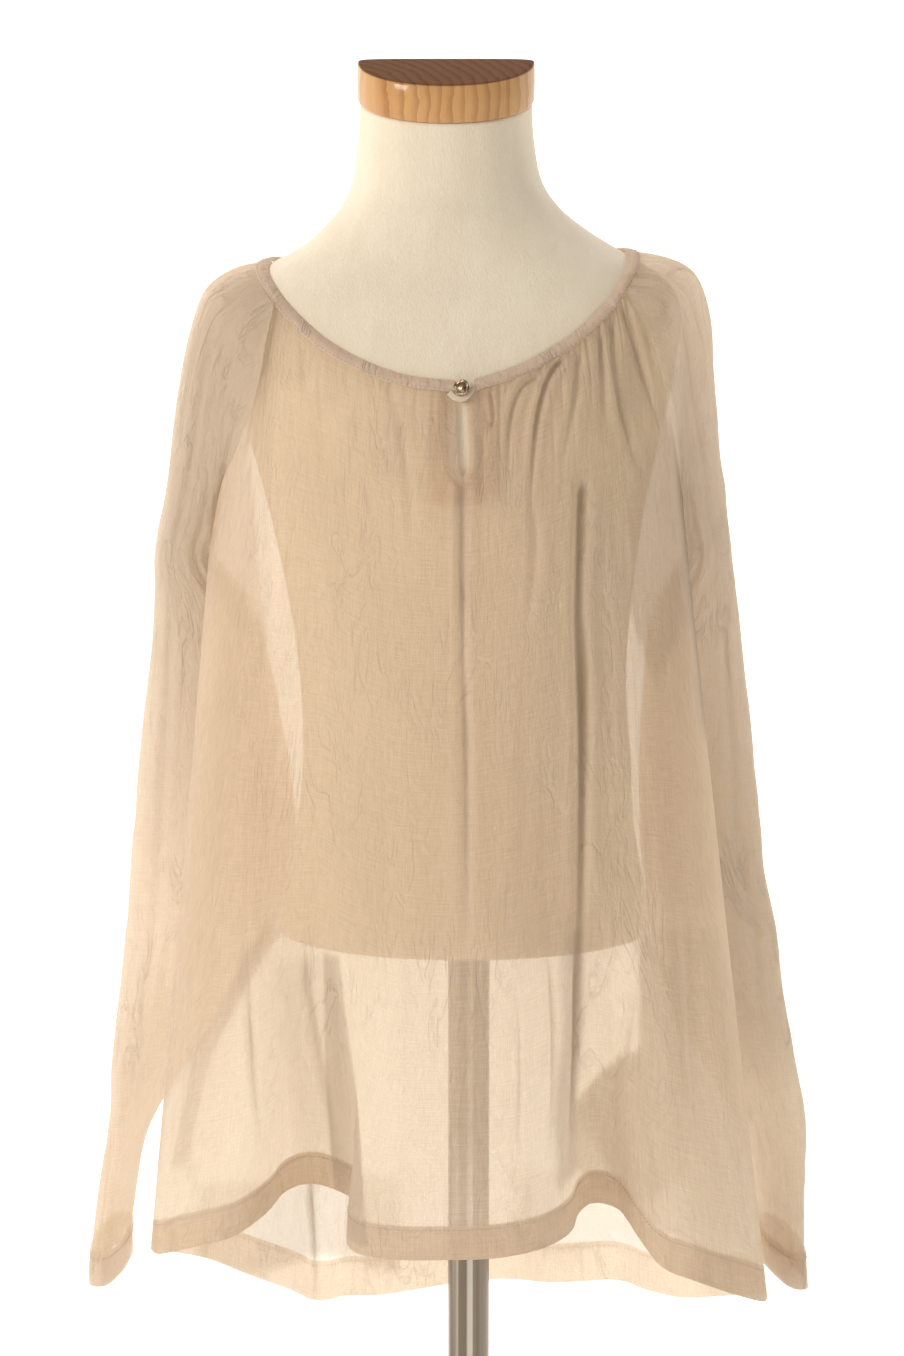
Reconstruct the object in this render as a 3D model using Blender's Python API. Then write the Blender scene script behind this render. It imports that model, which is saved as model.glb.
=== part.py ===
"""Wide gathered blouse with raglan sleeves, hanging on a limbless display form with a steel stand.

Sizes in the tables are centimetres. X runs to the right as the blouse is seen from its front,
Y runs from the front to the back, and Z runs up from the floor under the base.
"""
import math

import bmesh
import bpy
from mathutils import Vector
from mathutils.bvhtree import BVHTree

for leftover in list(bpy.data.objects):
    bpy.data.objects.remove(leftover, do_unlink=True)

CM = 0.01

# Cloth walls
CLOTH = 0.10            # wall of the voile
BAND_CLOTH = 0.16       # wall of the folded neck binding
LAYER_GAP = 0.035       # air between two layers that lie on each other
SEAM_INSET = 0.060      # each piece stops this far short of the seam line
FORM_CLEAR = 0.38       # outer face of the body cloth above the form
HANG_CLEAR = 0.50       # the same where the cloth hangs in wide facets
BAND_CLEAR = 0.42       # outer face of the binding above the form

# Widths of the sewn strips
BAND_WIDTH = 0.85
HEM_SHARE = 0.960       # where the turned hem starts along a body strand
CUFF_SHARE = 0.945      # where the cuff starts along a sleeve strand

# Stand
POLE_RADIUS = 1.43
BASE_RADIUS = 17.0
BASE_THICK = 0.8
COLLAR_RADIUS = 2.6
COLLAR_HEIGHT = 1.6
FORM_FLOOR = 92.6
FIT_GAP = 0.03
FULLNESS = 0.16         # gathered cloth stands this far off before its troughs sink in
BEHIND_GAP = 0.50       # air between the back and the sleeves that hang behind it

# Horizontal rings of the form: height, middle, half_width, front, seat, back, lean
# (the seat is where along Y a ring is widest)
FORM_RINGS = [
    (92.6, -0.33, 12.3, 8.2, 0.4, 2.8, 0.0),
    (93.1, -0.33, 12.8, 8.6, 0.4, 3.0, 0.0),
    (99.3, -0.25, 11.6, 7.9, 0.4, 3.0, 0.0),
    (104.3, -0.15, 11.2, 7.5, 0.4, 3.0, 0.0),
    (109.9, -0.40, 11.1, 7.9, 0.4, 3.0, 0.0),
    (115.4, -0.60, 11.6, 8.8, 0.4, 3.0, 0.0),
    (121.9, -0.85, 12.7, 9.2, 0.4, 3.0, 0.0),
    (126.5, -1.00, 13.8, 8.9, 0.4, 3.0, 0.0),
    (130.1, -1.10, 14.7, 8.2, 0.4, 3.0, 0.0),
    (132.8, -1.20, 15.2, 7.3, 0.4, 3.0, 0.0),
    (134.7, -1.20, 15.4, 6.5, 0.4, 3.0, 0.0),
    (136.0, -1.20, 15.1, 6.0, 0.5, 3.0, 0.0),
    (137.0, -1.10, 14.3, 5.5, 0.6, 2.95, 0.0),
    (138.1, -0.85, 12.5, 5.0, 0.8, 2.95, 0.0),
    (139.2, -0.80, 10.5, 4.6, 1.0, 2.95, 0.0),
    (140.4, -1.05, 8.8, 4.2, 1.2, 2.95, 0.01),
    (141.8, -1.30, 7.3, 3.8, 1.5, 2.95, 0.03),
    (143.5, -1.48, 6.3, 3.3, 1.8, 2.95, 0.08),
    (146.1, -1.55, 5.85, 3.1, 2.1, 2.95, 0.15),
    (148.45, -1.55, 5.72, 3.0, 2.3, 2.95, 0.22),
]
FORM_FRONT_STEPS = 20
FORM_BACK_STEPS = 12

# Wooden cap on the neck
CAP_MIDDLE = -1.55
CAP_HALF_WIDTH = 5.9
CAP_FRONT = 3.15
CAP_SEAT = 2.3
CAP_BACK = 3.05
CAP_THICK = 2.5
CAP_LEAN = 0.22
CAP_EDGE = 0.12

# Upper edge of the neck binding, from the slit round the left shoulder, the back and the right
# shoulder to the slit again: x, y, z
NECK_EDGE = [
    (-0.95, -8.6, 131.75),
    (-4.50, -8.4, 132.20),
    (-7.80, -7.4, 133.30),
    (-10.30, -6.0, 134.70),
    (-12.30, -4.0, 136.50),
    (-13.50, -1.4, 138.20),
    (-13.10, 1.6, 138.60),
    (-11.00, 3.2, 138.40),
    (-6.50, 3.2, 137.80),
    (-1.50, 3.2, 137.60),
    (3.50, 3.2, 137.90),
    (8.20, 3.2, 138.70),
    (10.40, 1.6, 139.20),
    (10.70, -1.0, 139.10),
    (10.20, -3.6, 138.00),
    (9.20, -5.4, 136.60),
    (7.20, -7.0, 134.90),
    (3.90, -8.2, 133.10),
    (0.30, -8.6, 131.85),
]
# Rows of the edge above where the four raglan seams start
SEAM_FRONT_LEFT = 4.0
SEAM_BACK_LEFT = 7.0
SEAM_BACK_RIGHT = 11.0
SEAM_FRONT_RIGHT = 14.3
EDGE_END = len(NECK_EDGE) - 1

# Raglan seams below the binding, ending at the underarm: x, y, z
RAGLAN_FRONT_LEFT = [(-13.9, -5.2, 131.0), (-15.4, -3.4, 126.5), (-17.3, 0.4, 122.3)]
RAGLAN_BACK_LEFT = [(-13.9, 3.5, 131.5), (-15.4, 2.8, 126.8), (-17.3, 0.4, 122.3)]
RAGLAN_FRONT_RIGHT = [(12.3, -4.6, 132.6), (13.5, -3.2, 127.6), (14.4, 0.4, 122.3)]
RAGLAN_BACK_RIGHT = [(11.8, 3.5, 132.5), (13.4, 2.6, 127.4), (14.4, 0.4, 122.3)]

# Front hem from the left side seam to the right one: x, y, z
FRONT_HEM = [
    (-22.2, -0.5, 69.4),
    (-21.3, -4.4, 70.4),
    (-18.6, -7.4, 72.0),
    (-15.9, -8.4, 73.1),
    (-13.8, -6.9, 74.2),
    (-12.6, -4.4, 74.9),
    (-10.8, -3.3, 75.1),
    (-8.6, -3.7, 74.5),
    (-7.4, -5.2, 73.9),
    (-8.3, -7.8, 73.1),
    (-7.9, -9.8, 72.5),
    (-5.4, -11.2, 72.4),
    (-1.4, -11.9, 72.6),
    (2.1, -12.0, 72.8),
    (5.1, -11.1, 73.2),
    (6.9, -9.0, 73.6),
    (7.5, -6.4, 74.0),
    (8.6, -4.5, 74.1),
    (10.3, -4.5, 73.6),
    (11.5, -6.4, 72.4),
    (13.1, -8.5, 70.9),
    (15.6, -9.0, 70.0),
    (18.4, -7.2, 68.4),
    (20.4, -4.0, 66.8),
    (20.9, -0.5, 65.9),
]
# Back hem from the left side seam to the right one: x, y, z
BACK_HEM = [
    (-22.2, -0.5, 69.4),
    (-21.0, 2.4, 68.2),
    (-18.4, 4.2, 67.0),
    (-15.4, 4.6, 65.6),
    (-12.9, 6.6, 63.9),
    (-10.9, 8.8, 62.2),
    (-8.9, 7.9, 62.9),
    (-6.4, 5.6, 63.8),
    (-3.2, 6.2, 64.1),
    (-0.2, 7.9, 64.0),
    (2.9, 7.0, 64.5),
    (5.8, 5.2, 64.9),
    (8.4, 6.6, 64.5),
    (10.9, 7.6, 64.2),
    (12.9, 6.6, 63.8),
    (15.2, 7.6, 62.9),
    (17.6, 6.4, 63.4),
    (19.9, 3.0, 64.8),
    (20.9, -0.5, 65.9),
]

# Sections of the hanging sleeves: height, middle_x, middle_y, half_width, half_thick, turn
SLEEVE_LEFT = [
    (118.0, -19.80, 1.7, 1.50, 1.9, 0.0),
    (112.0, -17.9, 4.2, 3.9, 1.6, 0.0),
    (102.0, -17.8, 5.4, 5.3, 1.4, -4.0),
    (97.0, -17.8, 5.9, 5.75, 1.3, -6.0),
    (91.5, -18.6, 6.1, 5.4, 1.3, -12.0),
    (86.0, -20.5, 6.0, 4.7, 1.2, -32.0),
    (81.0, -22.0, 5.8, 4.6, 1.1, -54.0),
    (76.5, -23.9, 5.5, 4.5, 1.05, -78.0),
    (71.8, -25.0, 5.1, 4.5, 1.0, -83.0),
    (66.4, -25.4, 4.6, 4.6, 1.05, -82.0),
]
SLEEVE_RIGHT = [
    (118.0, 16.50, 2.2, 1.25, 1.9, 0.0),
    (112.0, 15.5, 4.6, 3.3, 1.6, 0.0),
    (102.0, 15.9, 5.4, 4.0, 1.4, -4.0),
    (97.0, 16.2, 5.9, 4.2, 1.3, -6.0),
    (91.5, 17.1, 6.2, 4.5, 1.3, -10.0),
    (86.0, 18.0, 6.4, 4.5, 1.2, -24.0),
    (81.0, 19.6, 6.4, 4.5, 1.1, -44.0),
    (76.5, 21.2, 6.1, 4.5, 1.0, -60.0),
    (71.8, 22.0, 5.5, 4.5, 0.9, -74.0),
    (66.0, 22.3, 5.0, 4.6, 0.9, -76.0),
]
LEFT, RIGHT = -1.0, 1.0

# Soft troughs in the front cloth: place across at the top, drift to the hem, start, end, width, depth
FRONT_FOLDS = [
    (0.150, 0.000, 0.02, 0.30, 0.013, 0.18),
    (0.195, -0.005, 0.00, 0.18, 0.012, 0.18),
    (0.243, 0.010, 0.02, 0.42, 0.016, 0.28),
    (0.285, 0.000, 0.00, 0.16, 0.012, 0.16),
    (0.322, 0.010, 0.01, 0.26, 0.013, 0.20),
    (0.362, 0.020, 0.00, 0.45, 0.013, 0.24),
    (0.402, 0.000, 0.00, 0.14, 0.012, 0.15),
    (0.436, 0.010, 0.00, 0.20, 0.011, 0.14),
    (0.540, 0.000, 0.00, 0.24, 0.012, 0.18),
    (0.572, 0.000, 0.00, 0.16, 0.012, 0.16),
    (0.606, -0.030, 0.00, 0.62, 0.015, 0.36),
    (0.645, -0.010, 0.00, 0.30, 0.013, 0.22),
    (0.682, 0.000, 0.00, 0.18, 0.012, 0.18),
    (0.716, -0.010, 0.00, 0.30, 0.013, 0.24),
    (0.752, -0.010, 0.00, 0.20, 0.012, 0.20),
    (0.788, -0.020, 0.00, 0.28, 0.013, 0.22),
    (0.826, -0.020, 0.00, 0.34, 0.013, 0.18),
    (0.864, -0.020, 0.02, 0.40, 0.014, 0.12),
]
BACK_FOLDS = [
    (0.200, 0.00, 0.00, 0.30, 0.014, 0.18),
    (0.260, 0.01, 0.00, 0.22, 0.012, 0.16),
    (0.320, 0.00, 0.00, 0.40, 0.014, 0.22),
    (0.380, 0.00, 0.00, 0.20, 0.012, 0.16),
    (0.440, 0.00, 0.00, 0.34, 0.014, 0.20),
    (0.500, 0.00, 0.00, 0.26, 0.012, 0.18),
    (0.560, 0.00, 0.00, 0.38, 0.014, 0.22),
    (0.620, 0.00, 0.00, 0.20, 0.012, 0.16),
    (0.680, -0.01, 0.00, 0.36, 0.014, 0.20),
    (0.740, 0.00, 0.00, 0.24, 0.012, 0.16),
    (0.800, 0.00, 0.00, 0.30, 0.014, 0.18),
]
SLEEVE_FOLDS = [
    (0.20, 0.02, 0.24, 0.70, 0.030, 0.20),
    (0.31, -0.02, 0.10, 0.46, 0.026, 0.18),
    (0.40, 0.00, 0.02, 0.26, 0.020, 0.16),
    (0.47, 0.00, 0.00, 0.20, 0.018, 0.14),
    (0.53, 0.00, 0.00, 0.22, 0.018, 0.14),
    (0.62, 0.00, 0.04, 0.36, 0.024, 0.16),
    (0.76, 0.02, 0.30, 0.80, 0.030, 0.20),
]

# Keyhole slit in the front: its depth as a share of the strand and its half width
SLIT_ROWS = 3
SLIT_SHARE = 0.095
SLIT_HALF_WIDTH = 0.24

# Columns and rows of the cloth grids
RAGLAN_COLUMNS = 6
HALF_NECK_COLUMNS = 28
BACK_RAGLAN_COLUMNS = 5
BACK_NECK_COLUMNS = 32
SLEEVE_COLUMNS = 28
FRONT_ROWS = [0.0, 0.03, 0.06, SLIT_SHARE, 0.14, 0.20, 0.27, 0.35, 0.43, 0.51, 0.59, 0.67, 0.75,
              0.83, 0.90, HEM_SHARE, 1.0]
BACK_ROWS = [0.0, 0.04, 0.09, 0.15, 0.22, 0.30, 0.39, 0.48, 0.57, 0.66, 0.75, 0.83, 0.90,
             HEM_SHARE, 1.0]
SHOULDER_ROWS = 7
SHOULDER_KNEE = 2.0 / 7.0       # share of the shoulder's rows down to its corner
KNEE_OUT = {-1.0: 0.54, 1.0: 0.58}
KNEE_FALL = {-1.0: 0.055, 1.0: 0.030}
BULGE = {-1.0: 0.0, 1.0: 1.1}   # slack back cloth stands out at the right shoulder
BULGE_ACROSS, BULGE_DOWN = 0.58, 0.36
BULGE_WIDTH, BULGE_LENGTH = 0.10, 0.14
CLEAR_ROUNDS = 4
EVEN_ROUNDS = 1
EASE_ROUNDS = 3
EASE_COLUMNS = 11
EASE_ROWS = 8
DOUBLE_REACH = 8
SLEEVE_ROWS = 11

# Button and loop
BUTTON_CENTRE = (-0.42, 131.25)
BUTTON_RADIUS = 0.56
BUTTON_THICK = 0.26
LOOP_RADIUS = 0.11


def mix(start, end, share):
    return start + (end - start) * share


def smooth(share):
    share = min(1.0, max(0.0, share))
    return share * share * (3.0 - 2.0 * share)


def along(points, place):
    """Point at a fractional row of a table, on a smooth curve through all of its rows."""
    last = len(points) - 1
    row = min(max(int(math.floor(place)), 0), last - 1)
    share = place - row
    picks = [points[min(max(row + step, 0), last)] for step in (-1, 0, 1, 2)]
    before, start, end, after = [Vector(pick) for pick in picks]
    curve = (start * 2.0 + (end - before) * share
             + (before * 2.0 - start * 5.0 + end * 4.0 - after) * share ** 2
             + (start * 3.0 - before - end * 3.0 + after) * share ** 3)
    return curve * 0.5


def even_places(points, count):
    """Fractional rows that cut the curve through a table into steps of equal length."""
    fine = 12 * (len(points) - 1)
    places = [index / 12.0 for index in range(fine + 1)]
    spots = [along(points, place) for place in places]
    lengths = [0.0]
    for before, after in zip(spots, spots[1:]):
        lengths.append(lengths[-1] + (after - before).length)
    found = []
    reach = 0
    for step in range(count + 1):
        goal = lengths[-1] * step / count
        while reach < fine - 1 and lengths[reach + 1] < goal:
            reach += 1
        span = lengths[reach + 1] - lengths[reach]
        found.append(mix(places[reach], places[reach + 1], (goal - lengths[reach]) / span))
    return found


def material(name, colour, roughness, metallic=0.0, sheen=0.0):
    made = bpy.data.materials.new(name)
    made.use_nodes = True
    shader = made.node_tree.nodes["Principled BSDF"]
    shader.inputs["Base Color"].default_value = (*colour, 1.0)
    shader.inputs["Roughness"].default_value = roughness
    shader.inputs["Metallic"].default_value = metallic
    shader.inputs["Sheen Weight"].default_value = sheen
    made.diffuse_color = (*colour, 1.0)
    return made


def add_object(name, mesh_data, slot, shade_smooth=True):
    """Turn a mesh in centimetres into a named object in metres with faces pointing out."""
    bmesh.ops.recalc_face_normals(mesh_data, faces=mesh_data.faces[:])
    bmesh.ops.scale(mesh_data, vec=(CM, CM, CM), verts=mesh_data.verts[:])
    mesh = bpy.data.meshes.new(name)
    mesh_data.to_mesh(mesh)
    mesh_data.free()
    mesh.materials.append(slot)
    for face in mesh.polygons:
        face.use_smooth = shade_smooth
    made = bpy.data.objects.new(name, mesh)
    bpy.context.scene.collection.objects.link(made)
    return made


def ring_point(ring, angle):
    """Point on one ring of the form: a round front and a flat back with rounded corners."""
    height, middle, half_width, front, seat, back, lean = ring
    across, deep = math.cos(angle), math.sin(angle)
    power = 0.95 if deep < 0 else 0.50
    reach = front + seat if deep < 0 else back - seat
    across_part = math.copysign(abs(across) ** power, across) * half_width
    y = seat + math.copysign(abs(deep) ** power, deep) * reach
    return Vector((middle + across_part, y, height + lean * y))


def ring_angles():
    front = [math.pi + math.pi * step / FORM_FRONT_STEPS for step in range(FORM_FRONT_STEPS)]
    back = [math.pi * step / FORM_BACK_STEPS for step in range(FORM_BACK_STEPS)]
    return front + back


def stack(rings):
    """Closed body from rings of points that all have the same count."""
    body = bmesh.new()
    rows = [[body.verts.new(point) for point in ring] for ring in rings]
    count = len(rows[0])
    for lower, upper in zip(rows, rows[1:]):
        for step in range(count):
            after = (step + 1) % count
            body.faces.new((lower[step], lower[after], upper[after], upper[step]))
    body.faces.new(rows[0][::-1])
    body.faces.new(rows[-1])
    return body


def make_form(slot):
    angles = ring_angles()
    rings = [[ring_point(ring, angle) for angle in angles] for ring in FORM_RINGS]
    made = add_object("form_body", stack(rings), slot)
    tree = BVHTree.FromPolygons([vert.co / CM for vert in made.data.vertices],
                                [tuple(face.vertices) for face in made.data.polygons])
    return tree


def make_cap(slot):
    """Half-round wooden slab that leans with the top of the neck."""
    floor_height = FORM_RINGS[-1][0] + FIT_GAP
    angles = ring_angles()
    rings = []
    for rise, inset in ((0.0, CAP_EDGE), (CAP_EDGE, 0.0), (CAP_THICK - CAP_EDGE, 0.0),
                        (CAP_THICK, CAP_EDGE)):
        ring = (floor_height + rise, CAP_MIDDLE, CAP_HALF_WIDTH - inset, CAP_FRONT - inset,
                CAP_SEAT, CAP_BACK - inset, CAP_LEAN)
        rings.append([ring_point(ring, angle) for angle in angles])
    return add_object("neck_cap", stack(rings), slot, shade_smooth=False)


def turned(profile, count):
    """Rings round the pole's axis from a profile of radius and height."""
    rings = []
    for radius, height in profile:
        rings.append([Vector((radius * math.cos(2 * math.pi * step / count),
                              radius * math.sin(2 * math.pi * step / count), height))
                      for step in range(count)])
    return rings


def make_stand(slot):
    base = [(BASE_RADIUS - 0.15, 0.0), (BASE_RADIUS, 0.15), (BASE_RADIUS, BASE_THICK - 0.2),
            (BASE_RADIUS - 0.2, BASE_THICK)]
    add_object("base", stack(turned(base, 64)), slot)
    collar_top = FORM_FLOOR - FIT_GAP
    collar_floor = collar_top - COLLAR_HEIGHT
    pole = [(POLE_RADIUS, BASE_THICK + FIT_GAP), (POLE_RADIUS, collar_floor - FIT_GAP)]
    add_object("pole", stack(turned(pole, 32)), slot)
    collar = [(POLE_RADIUS, collar_floor), (COLLAR_RADIUS - 0.3, collar_floor),
              (COLLAR_RADIUS, collar_floor + 0.3), (COLLAR_RADIUS, collar_top)]
    add_object("collar", stack(turned(collar, 32)), slot)


def push_off(tree, point, clear):
    """Way a point has to move to be clear of the form by the given height."""
    near, normal, _, _ = tree.find_nearest(point)
    away = point - near
    if away.dot(normal) < 0.0:
        return normal * (clear - away.dot(normal))
    if away.length < clear:
        return normal * (clear - away.length)
    return Vector((0, 0, 0))


def rest_on(tree, point, clear):
    return point + push_off(tree, point, clear)


def lay_on(tree, point, clear):
    near, normal, _, _ = tree.find_nearest(point)
    return near + normal * clear


def neck_point(tree, place, down, clear):
    """Point on the neck line at a row of its table, a given way down the form's skin."""
    point = lay_on(tree, along(NECK_EDGE, place), clear)
    steps = 4
    for _ in range(steps):
        _, normal, _, _ = tree.find_nearest(point)
        outward = Vector((point.x + 1.55, point.y, 0.0)).normalized()
        way = Vector((0, 0, -1.0)) + outward * 0.3
        way -= normal * way.dot(normal)
        point = lay_on(tree, point + way.normalized() * (down / steps), clear)
    return point


def grid_normals(grid):
    """Direction square to the cloth at each point, evened out with its neighbours."""
    rows, columns = len(grid), len(grid[0])
    normals = []
    for row in range(rows):
        line = []
        for column in range(columns):
            down = grid[min(row + 1, rows - 1)][column] - grid[max(row - 1, 0)][column]
            over = grid[row][min(column + 1, columns - 1)] - grid[row][max(column - 1, 0)]
            line.append(over.cross(down).normalized())
        normals.append(line)
    for _ in range(EVEN_ROUNDS):
        normals = [[(normals[row][column] * 2.0
                     + normals[max(row - 1, 0)][column]
                     + normals[min(row + 1, rows - 1)][column]
                     + normals[row][max(column - 1, 0)]
                     + normals[row][min(column + 1, columns - 1)]).normalized()
                    for column in range(columns)] for row in range(rows)]
    return normals


def wall(grid, thick, offset=0.0, facing=-1.0, missing=()):
    """Closed wall on a grid of points: its outer face is the grid moved out by the offset."""
    normals = grid_normals(grid)
    rows, columns = len(grid), len(grid[0])
    body = bmesh.new()
    outer, inner = {}, {}
    kept = [(row, column) for row in range(rows - 1) for column in range(columns - 1)
            if (row, column) not in missing]
    for row, column in kept:
        for spot in ((row, column), (row, column + 1), (row + 1, column + 1), (row + 1, column)):
            if spot not in outer:
                point = grid[spot[0]][spot[1]]
                normal = normals[spot[0]][spot[1]] * facing
                outer[spot] = body.verts.new(point + normal * offset)
                inner[spot] = body.verts.new(point + normal * (offset - thick))
    edges = {}
    for row, column in kept:
        corners = ((row, column), (row, column + 1), (row + 1, column + 1), (row + 1, column))
        for half in ((corners[0], corners[1], corners[2]), (corners[0], corners[2], corners[3])):
            body.faces.new([outer[spot] for spot in half])
            body.faces.new([inner[spot] for spot in reversed(half)])
        for start, end in zip(corners, corners[1:] + corners[:1]):
            edges[(start, end)] = edges.get((end, start)) is None
            if (end, start) in edges:
                edges[(end, start)] = False
    for (start, end), free in edges.items():
        if free:
            body.faces.new((outer[end], outer[start], inner[start], inner[end]))
    return body


def fold_depth(folds, across, down):
    """Depth of the soft troughs at a place across and down a piece."""
    total = 0.0
    for place, drift, start, end, width, depth in folds:
        reach = (across - place - drift * down) / width
        if abs(reach) > 3.0:
            continue
        open_end = 1.0 if start <= 0.0 else smooth((down - start) / 0.06)
        fade = open_end * (1.0 - smooth((down - mix(start, end, 0.45)) / (0.55 * (end - start))))
        total += depth * fade * (math.exp(-reach * reach) - 0.35 * math.exp(-(abs(reach) - 1.7) ** 2))
    return total


def seam_line(tree, neck_place, rows):
    start = neck_point(tree, neck_place, BAND_WIDTH, FORM_CLEAR)
    return [start] + [rest_on(tree, Vector(row), FORM_CLEAR) for row in rows]


def front_top(tree):
    """Top ends of the front strands: up the left seam, along the binding, down the right seam."""
    left = seam_line(tree, SEAM_FRONT_LEFT, RAGLAN_FRONT_LEFT)
    right = seam_line(tree, SEAM_FRONT_RIGHT, RAGLAN_FRONT_RIGHT)
    points = []
    for place in reversed(even_places(left, RAGLAN_COLUMNS)):
        points.append(along(left, place))
    down = BAND_WIDTH + 2 * SEAM_INSET
    for step in range(1, HALF_NECK_COLUMNS + 1):
        place = mix(SEAM_FRONT_LEFT, 0.05, step / HALF_NECK_COLUMNS)
        points.append(neck_point(tree, place, down, FORM_CLEAR))
    for step in range(HALF_NECK_COLUMNS):
        place = mix(EDGE_END - 0.05, SEAM_FRONT_RIGHT, step / HALF_NECK_COLUMNS)
        points.append(neck_point(tree, place, down, FORM_CLEAR))
    for place in even_places(right, RAGLAN_COLUMNS):
        points.append(along(right, place))
    return points


def back_top(tree):
    left = seam_line(tree, SEAM_BACK_LEFT, RAGLAN_BACK_LEFT)
    right = seam_line(tree, SEAM_BACK_RIGHT, RAGLAN_BACK_RIGHT)
    points = []
    for place in reversed(even_places(left, BACK_RAGLAN_COLUMNS)):
        points.append(along(left, place))
    down = BAND_WIDTH + 2 * SEAM_INSET
    for step in range(1, BACK_NECK_COLUMNS):
        place = mix(SEAM_BACK_LEFT, SEAM_BACK_RIGHT, step / BACK_NECK_COLUMNS)
        points.append(neck_point(tree, place, down, FORM_CLEAR))
    for place in even_places(right, BACK_RAGLAN_COLUMNS):
        points.append(along(right, place))
    return points


def evened(hem, step):
    """How far across a hem point would lie if the flutes did not double over each other."""
    reach = min(DOUBLE_REACH, step, len(hem) - 1 - step)
    picks = hem[step - reach:step + reach + 1]
    return sum(pick.x for pick in picks) / len(picks)


def ease(grid, columns, rows, rounds):
    """Even out the cloth beside the raglan seams."""
    last = len(grid[0]) - 1
    near = sorted(set(range(1, columns)) | set(range(last - columns + 1, last)))
    for _ in range(rounds):
        fresh = [line[:] for line in grid]
        for row in range(1, rows):
            for column in near:
                around = (grid[row - 1][column] + grid[row + 1][column]
                          + grid[row][column - 1] + grid[row][column + 1]) * 0.25
                fresh[row][column] = grid[row][column].lerp(around, 0.6)
        for row in range(1, rows):
            grid[row] = fresh[row]


def body_panel(tree, top, hem_rows, rows, folds, front):
    """Grid of one body panel: strands from its top line to its hem, swelling into flutes."""
    last = len(top) - 1
    hem = [along(hem_rows, place) for place in even_places(hem_rows, last)]
    plain = [evened(hem, step) for step in range(last + 1)]
    side = -1.0 if front else 1.0
    grid = []
    for down in rows:
        line = []
        spread = down ** 1.04
        left = mix(top[0].x, hem[0].x, spread)
        right = mix(top[-1].x, hem[-1].x, spread)
        for step in range(last + 1):
            across = step / last
            start, end = top[step], hem[step]
            doubled = (end.x - plain[step]) * smooth((down - 0.66) / 0.34)
            x = mix(start.x, plain[step], spread) + doubled
            z = mix(start.z, end.z, down)
            share = (x - left) / (right - left) * 2.0 - 1.0
            belly = max(0.0, 1.0 - abs(share) ** 3.0) ** 0.6
            hang = (9.6 if front else 3.6) * belly
            y = mix(start.y, side * hang, smooth(down / 0.30))
            outward = (end.y - y) * side > 0.0
            grow = (smooth((down - 0.22) / 0.78) ** 1.15 if outward
                    else smooth((down - 0.56) / 0.44))
            y = mix(y, end.y, grow)
            gathered = smooth(down / 0.05) * (1.0 - smooth((down - 0.15) / 0.30))
            y += side * (FULLNESS * gathered - fold_depth(folds, across, down))
            clear = mix(FORM_CLEAR, HANG_CLEAR, smooth((down - 0.15) / 0.2))
            line.append(rest_on(tree, Vector((x, y, z)), clear))
        grid.append(line)
    ease(grid, EASE_COLUMNS, EASE_ROWS, EASE_ROUNDS)
    clear_cells(tree, grid, FORM_CLEAR - 0.05)
    return grid


def pull_in(grid, seam_columns):
    """Shorten a grid at its sides, and at its top along the raglan seams, short of the seam."""
    columns = len(grid[0])
    moved = []
    for column in list(range(seam_columns + 1)) + list(range(columns - seam_columns - 1, columns)):
        seam = grid[0][min(column + 1, columns - 1)] - grid[0][max(column - 1, 0)]
        seam.normalize()
        away = grid[1][column] - grid[0][column]
        away -= seam * away.dot(seam)
        moved.append((column, grid[0][column] + away.normalized() * SEAM_INSET))
    for column, point in moved:
        grid[0][column] = point
    for line in grid:
        line[0] = line[0] + (line[1] - line[0]).normalized() * SEAM_INSET
        line[-1] = line[-1] + (line[-2] - line[-1]).normalized() * SEAM_INSET


def clear_cells(tree, grid, clear):
    """Push the corners of any cell whose middle or sides come too close to the form."""
    for _ in range(CLEAR_ROUNDS):
        for row in range(len(grid) - 1):
            for column in range(len(grid[0]) - 1):
                spots = [(row, column), (row, column + 1), (row + 1, column), (row + 1, column + 1)]
                corners = [grid[spot[0]][spot[1]] for spot in spots]
                middles = [(corners[first] + corners[second]) * 0.5
                           for first, second in ((0, 1), (2, 3), (0, 2), (1, 3), (0, 3), (1, 2))]
                for middle in middles:
                    push = push_off(tree, middle, clear) * 0.5
                    for spot in spots:
                        grid[spot[0]][spot[1]] = grid[spot[0]][spot[1]] + push


def sleeve_ring(row, side, across):
    """Point on a flattened ring of the sleeve, from its front inner edge round to its back one."""
    height, middle_x, middle_y, half_width, half_thick, turn = row
    angle = math.radians(turn)
    long_way = Vector((side * math.cos(angle), math.sin(angle), 0.0))
    deep_way = Vector((-side * math.sin(angle), math.cos(angle), 0.0))
    gap = 0.008
    swing = 2.0 * math.pi * mix(gap, 1.0 - gap, across)
    deep = -math.copysign(abs(math.sin(swing)) ** 0.8, math.sin(swing))
    point = Vector((middle_x, middle_y, height))
    return point + long_way * (-half_width * math.cos(swing)) + deep_way * (half_thick * deep)


def sleeve_top(tree, side):
    """Top ends of the sleeve strands: up the front seam, over the shoulder, down the back seam."""
    if side == LEFT:
        front = seam_line(tree, SEAM_FRONT_LEFT, RAGLAN_FRONT_LEFT)
        back = seam_line(tree, SEAM_BACK_LEFT, RAGLAN_BACK_LEFT)
        start, end = SEAM_FRONT_LEFT, SEAM_BACK_LEFT
    else:
        front = seam_line(tree, SEAM_FRONT_RIGHT, RAGLAN_FRONT_RIGHT)
        back = seam_line(tree, SEAM_BACK_RIGHT, RAGLAN_BACK_RIGHT)
        start, end = SEAM_FRONT_RIGHT, SEAM_BACK_RIGHT
    third = SLEEVE_COLUMNS // 4
    points = [along(front, place) for place in reversed(even_places(front, third))]
    middle = SLEEVE_COLUMNS - 2 * third
    for step in range(1, middle):
        place = mix(start, end, step / middle)
        points.append(neck_point(tree, place, BAND_WIDTH + 2 * SEAM_INSET, FORM_CLEAR))
    points.extend(along(back, place) for place in even_places(back, third))
    return points


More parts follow.
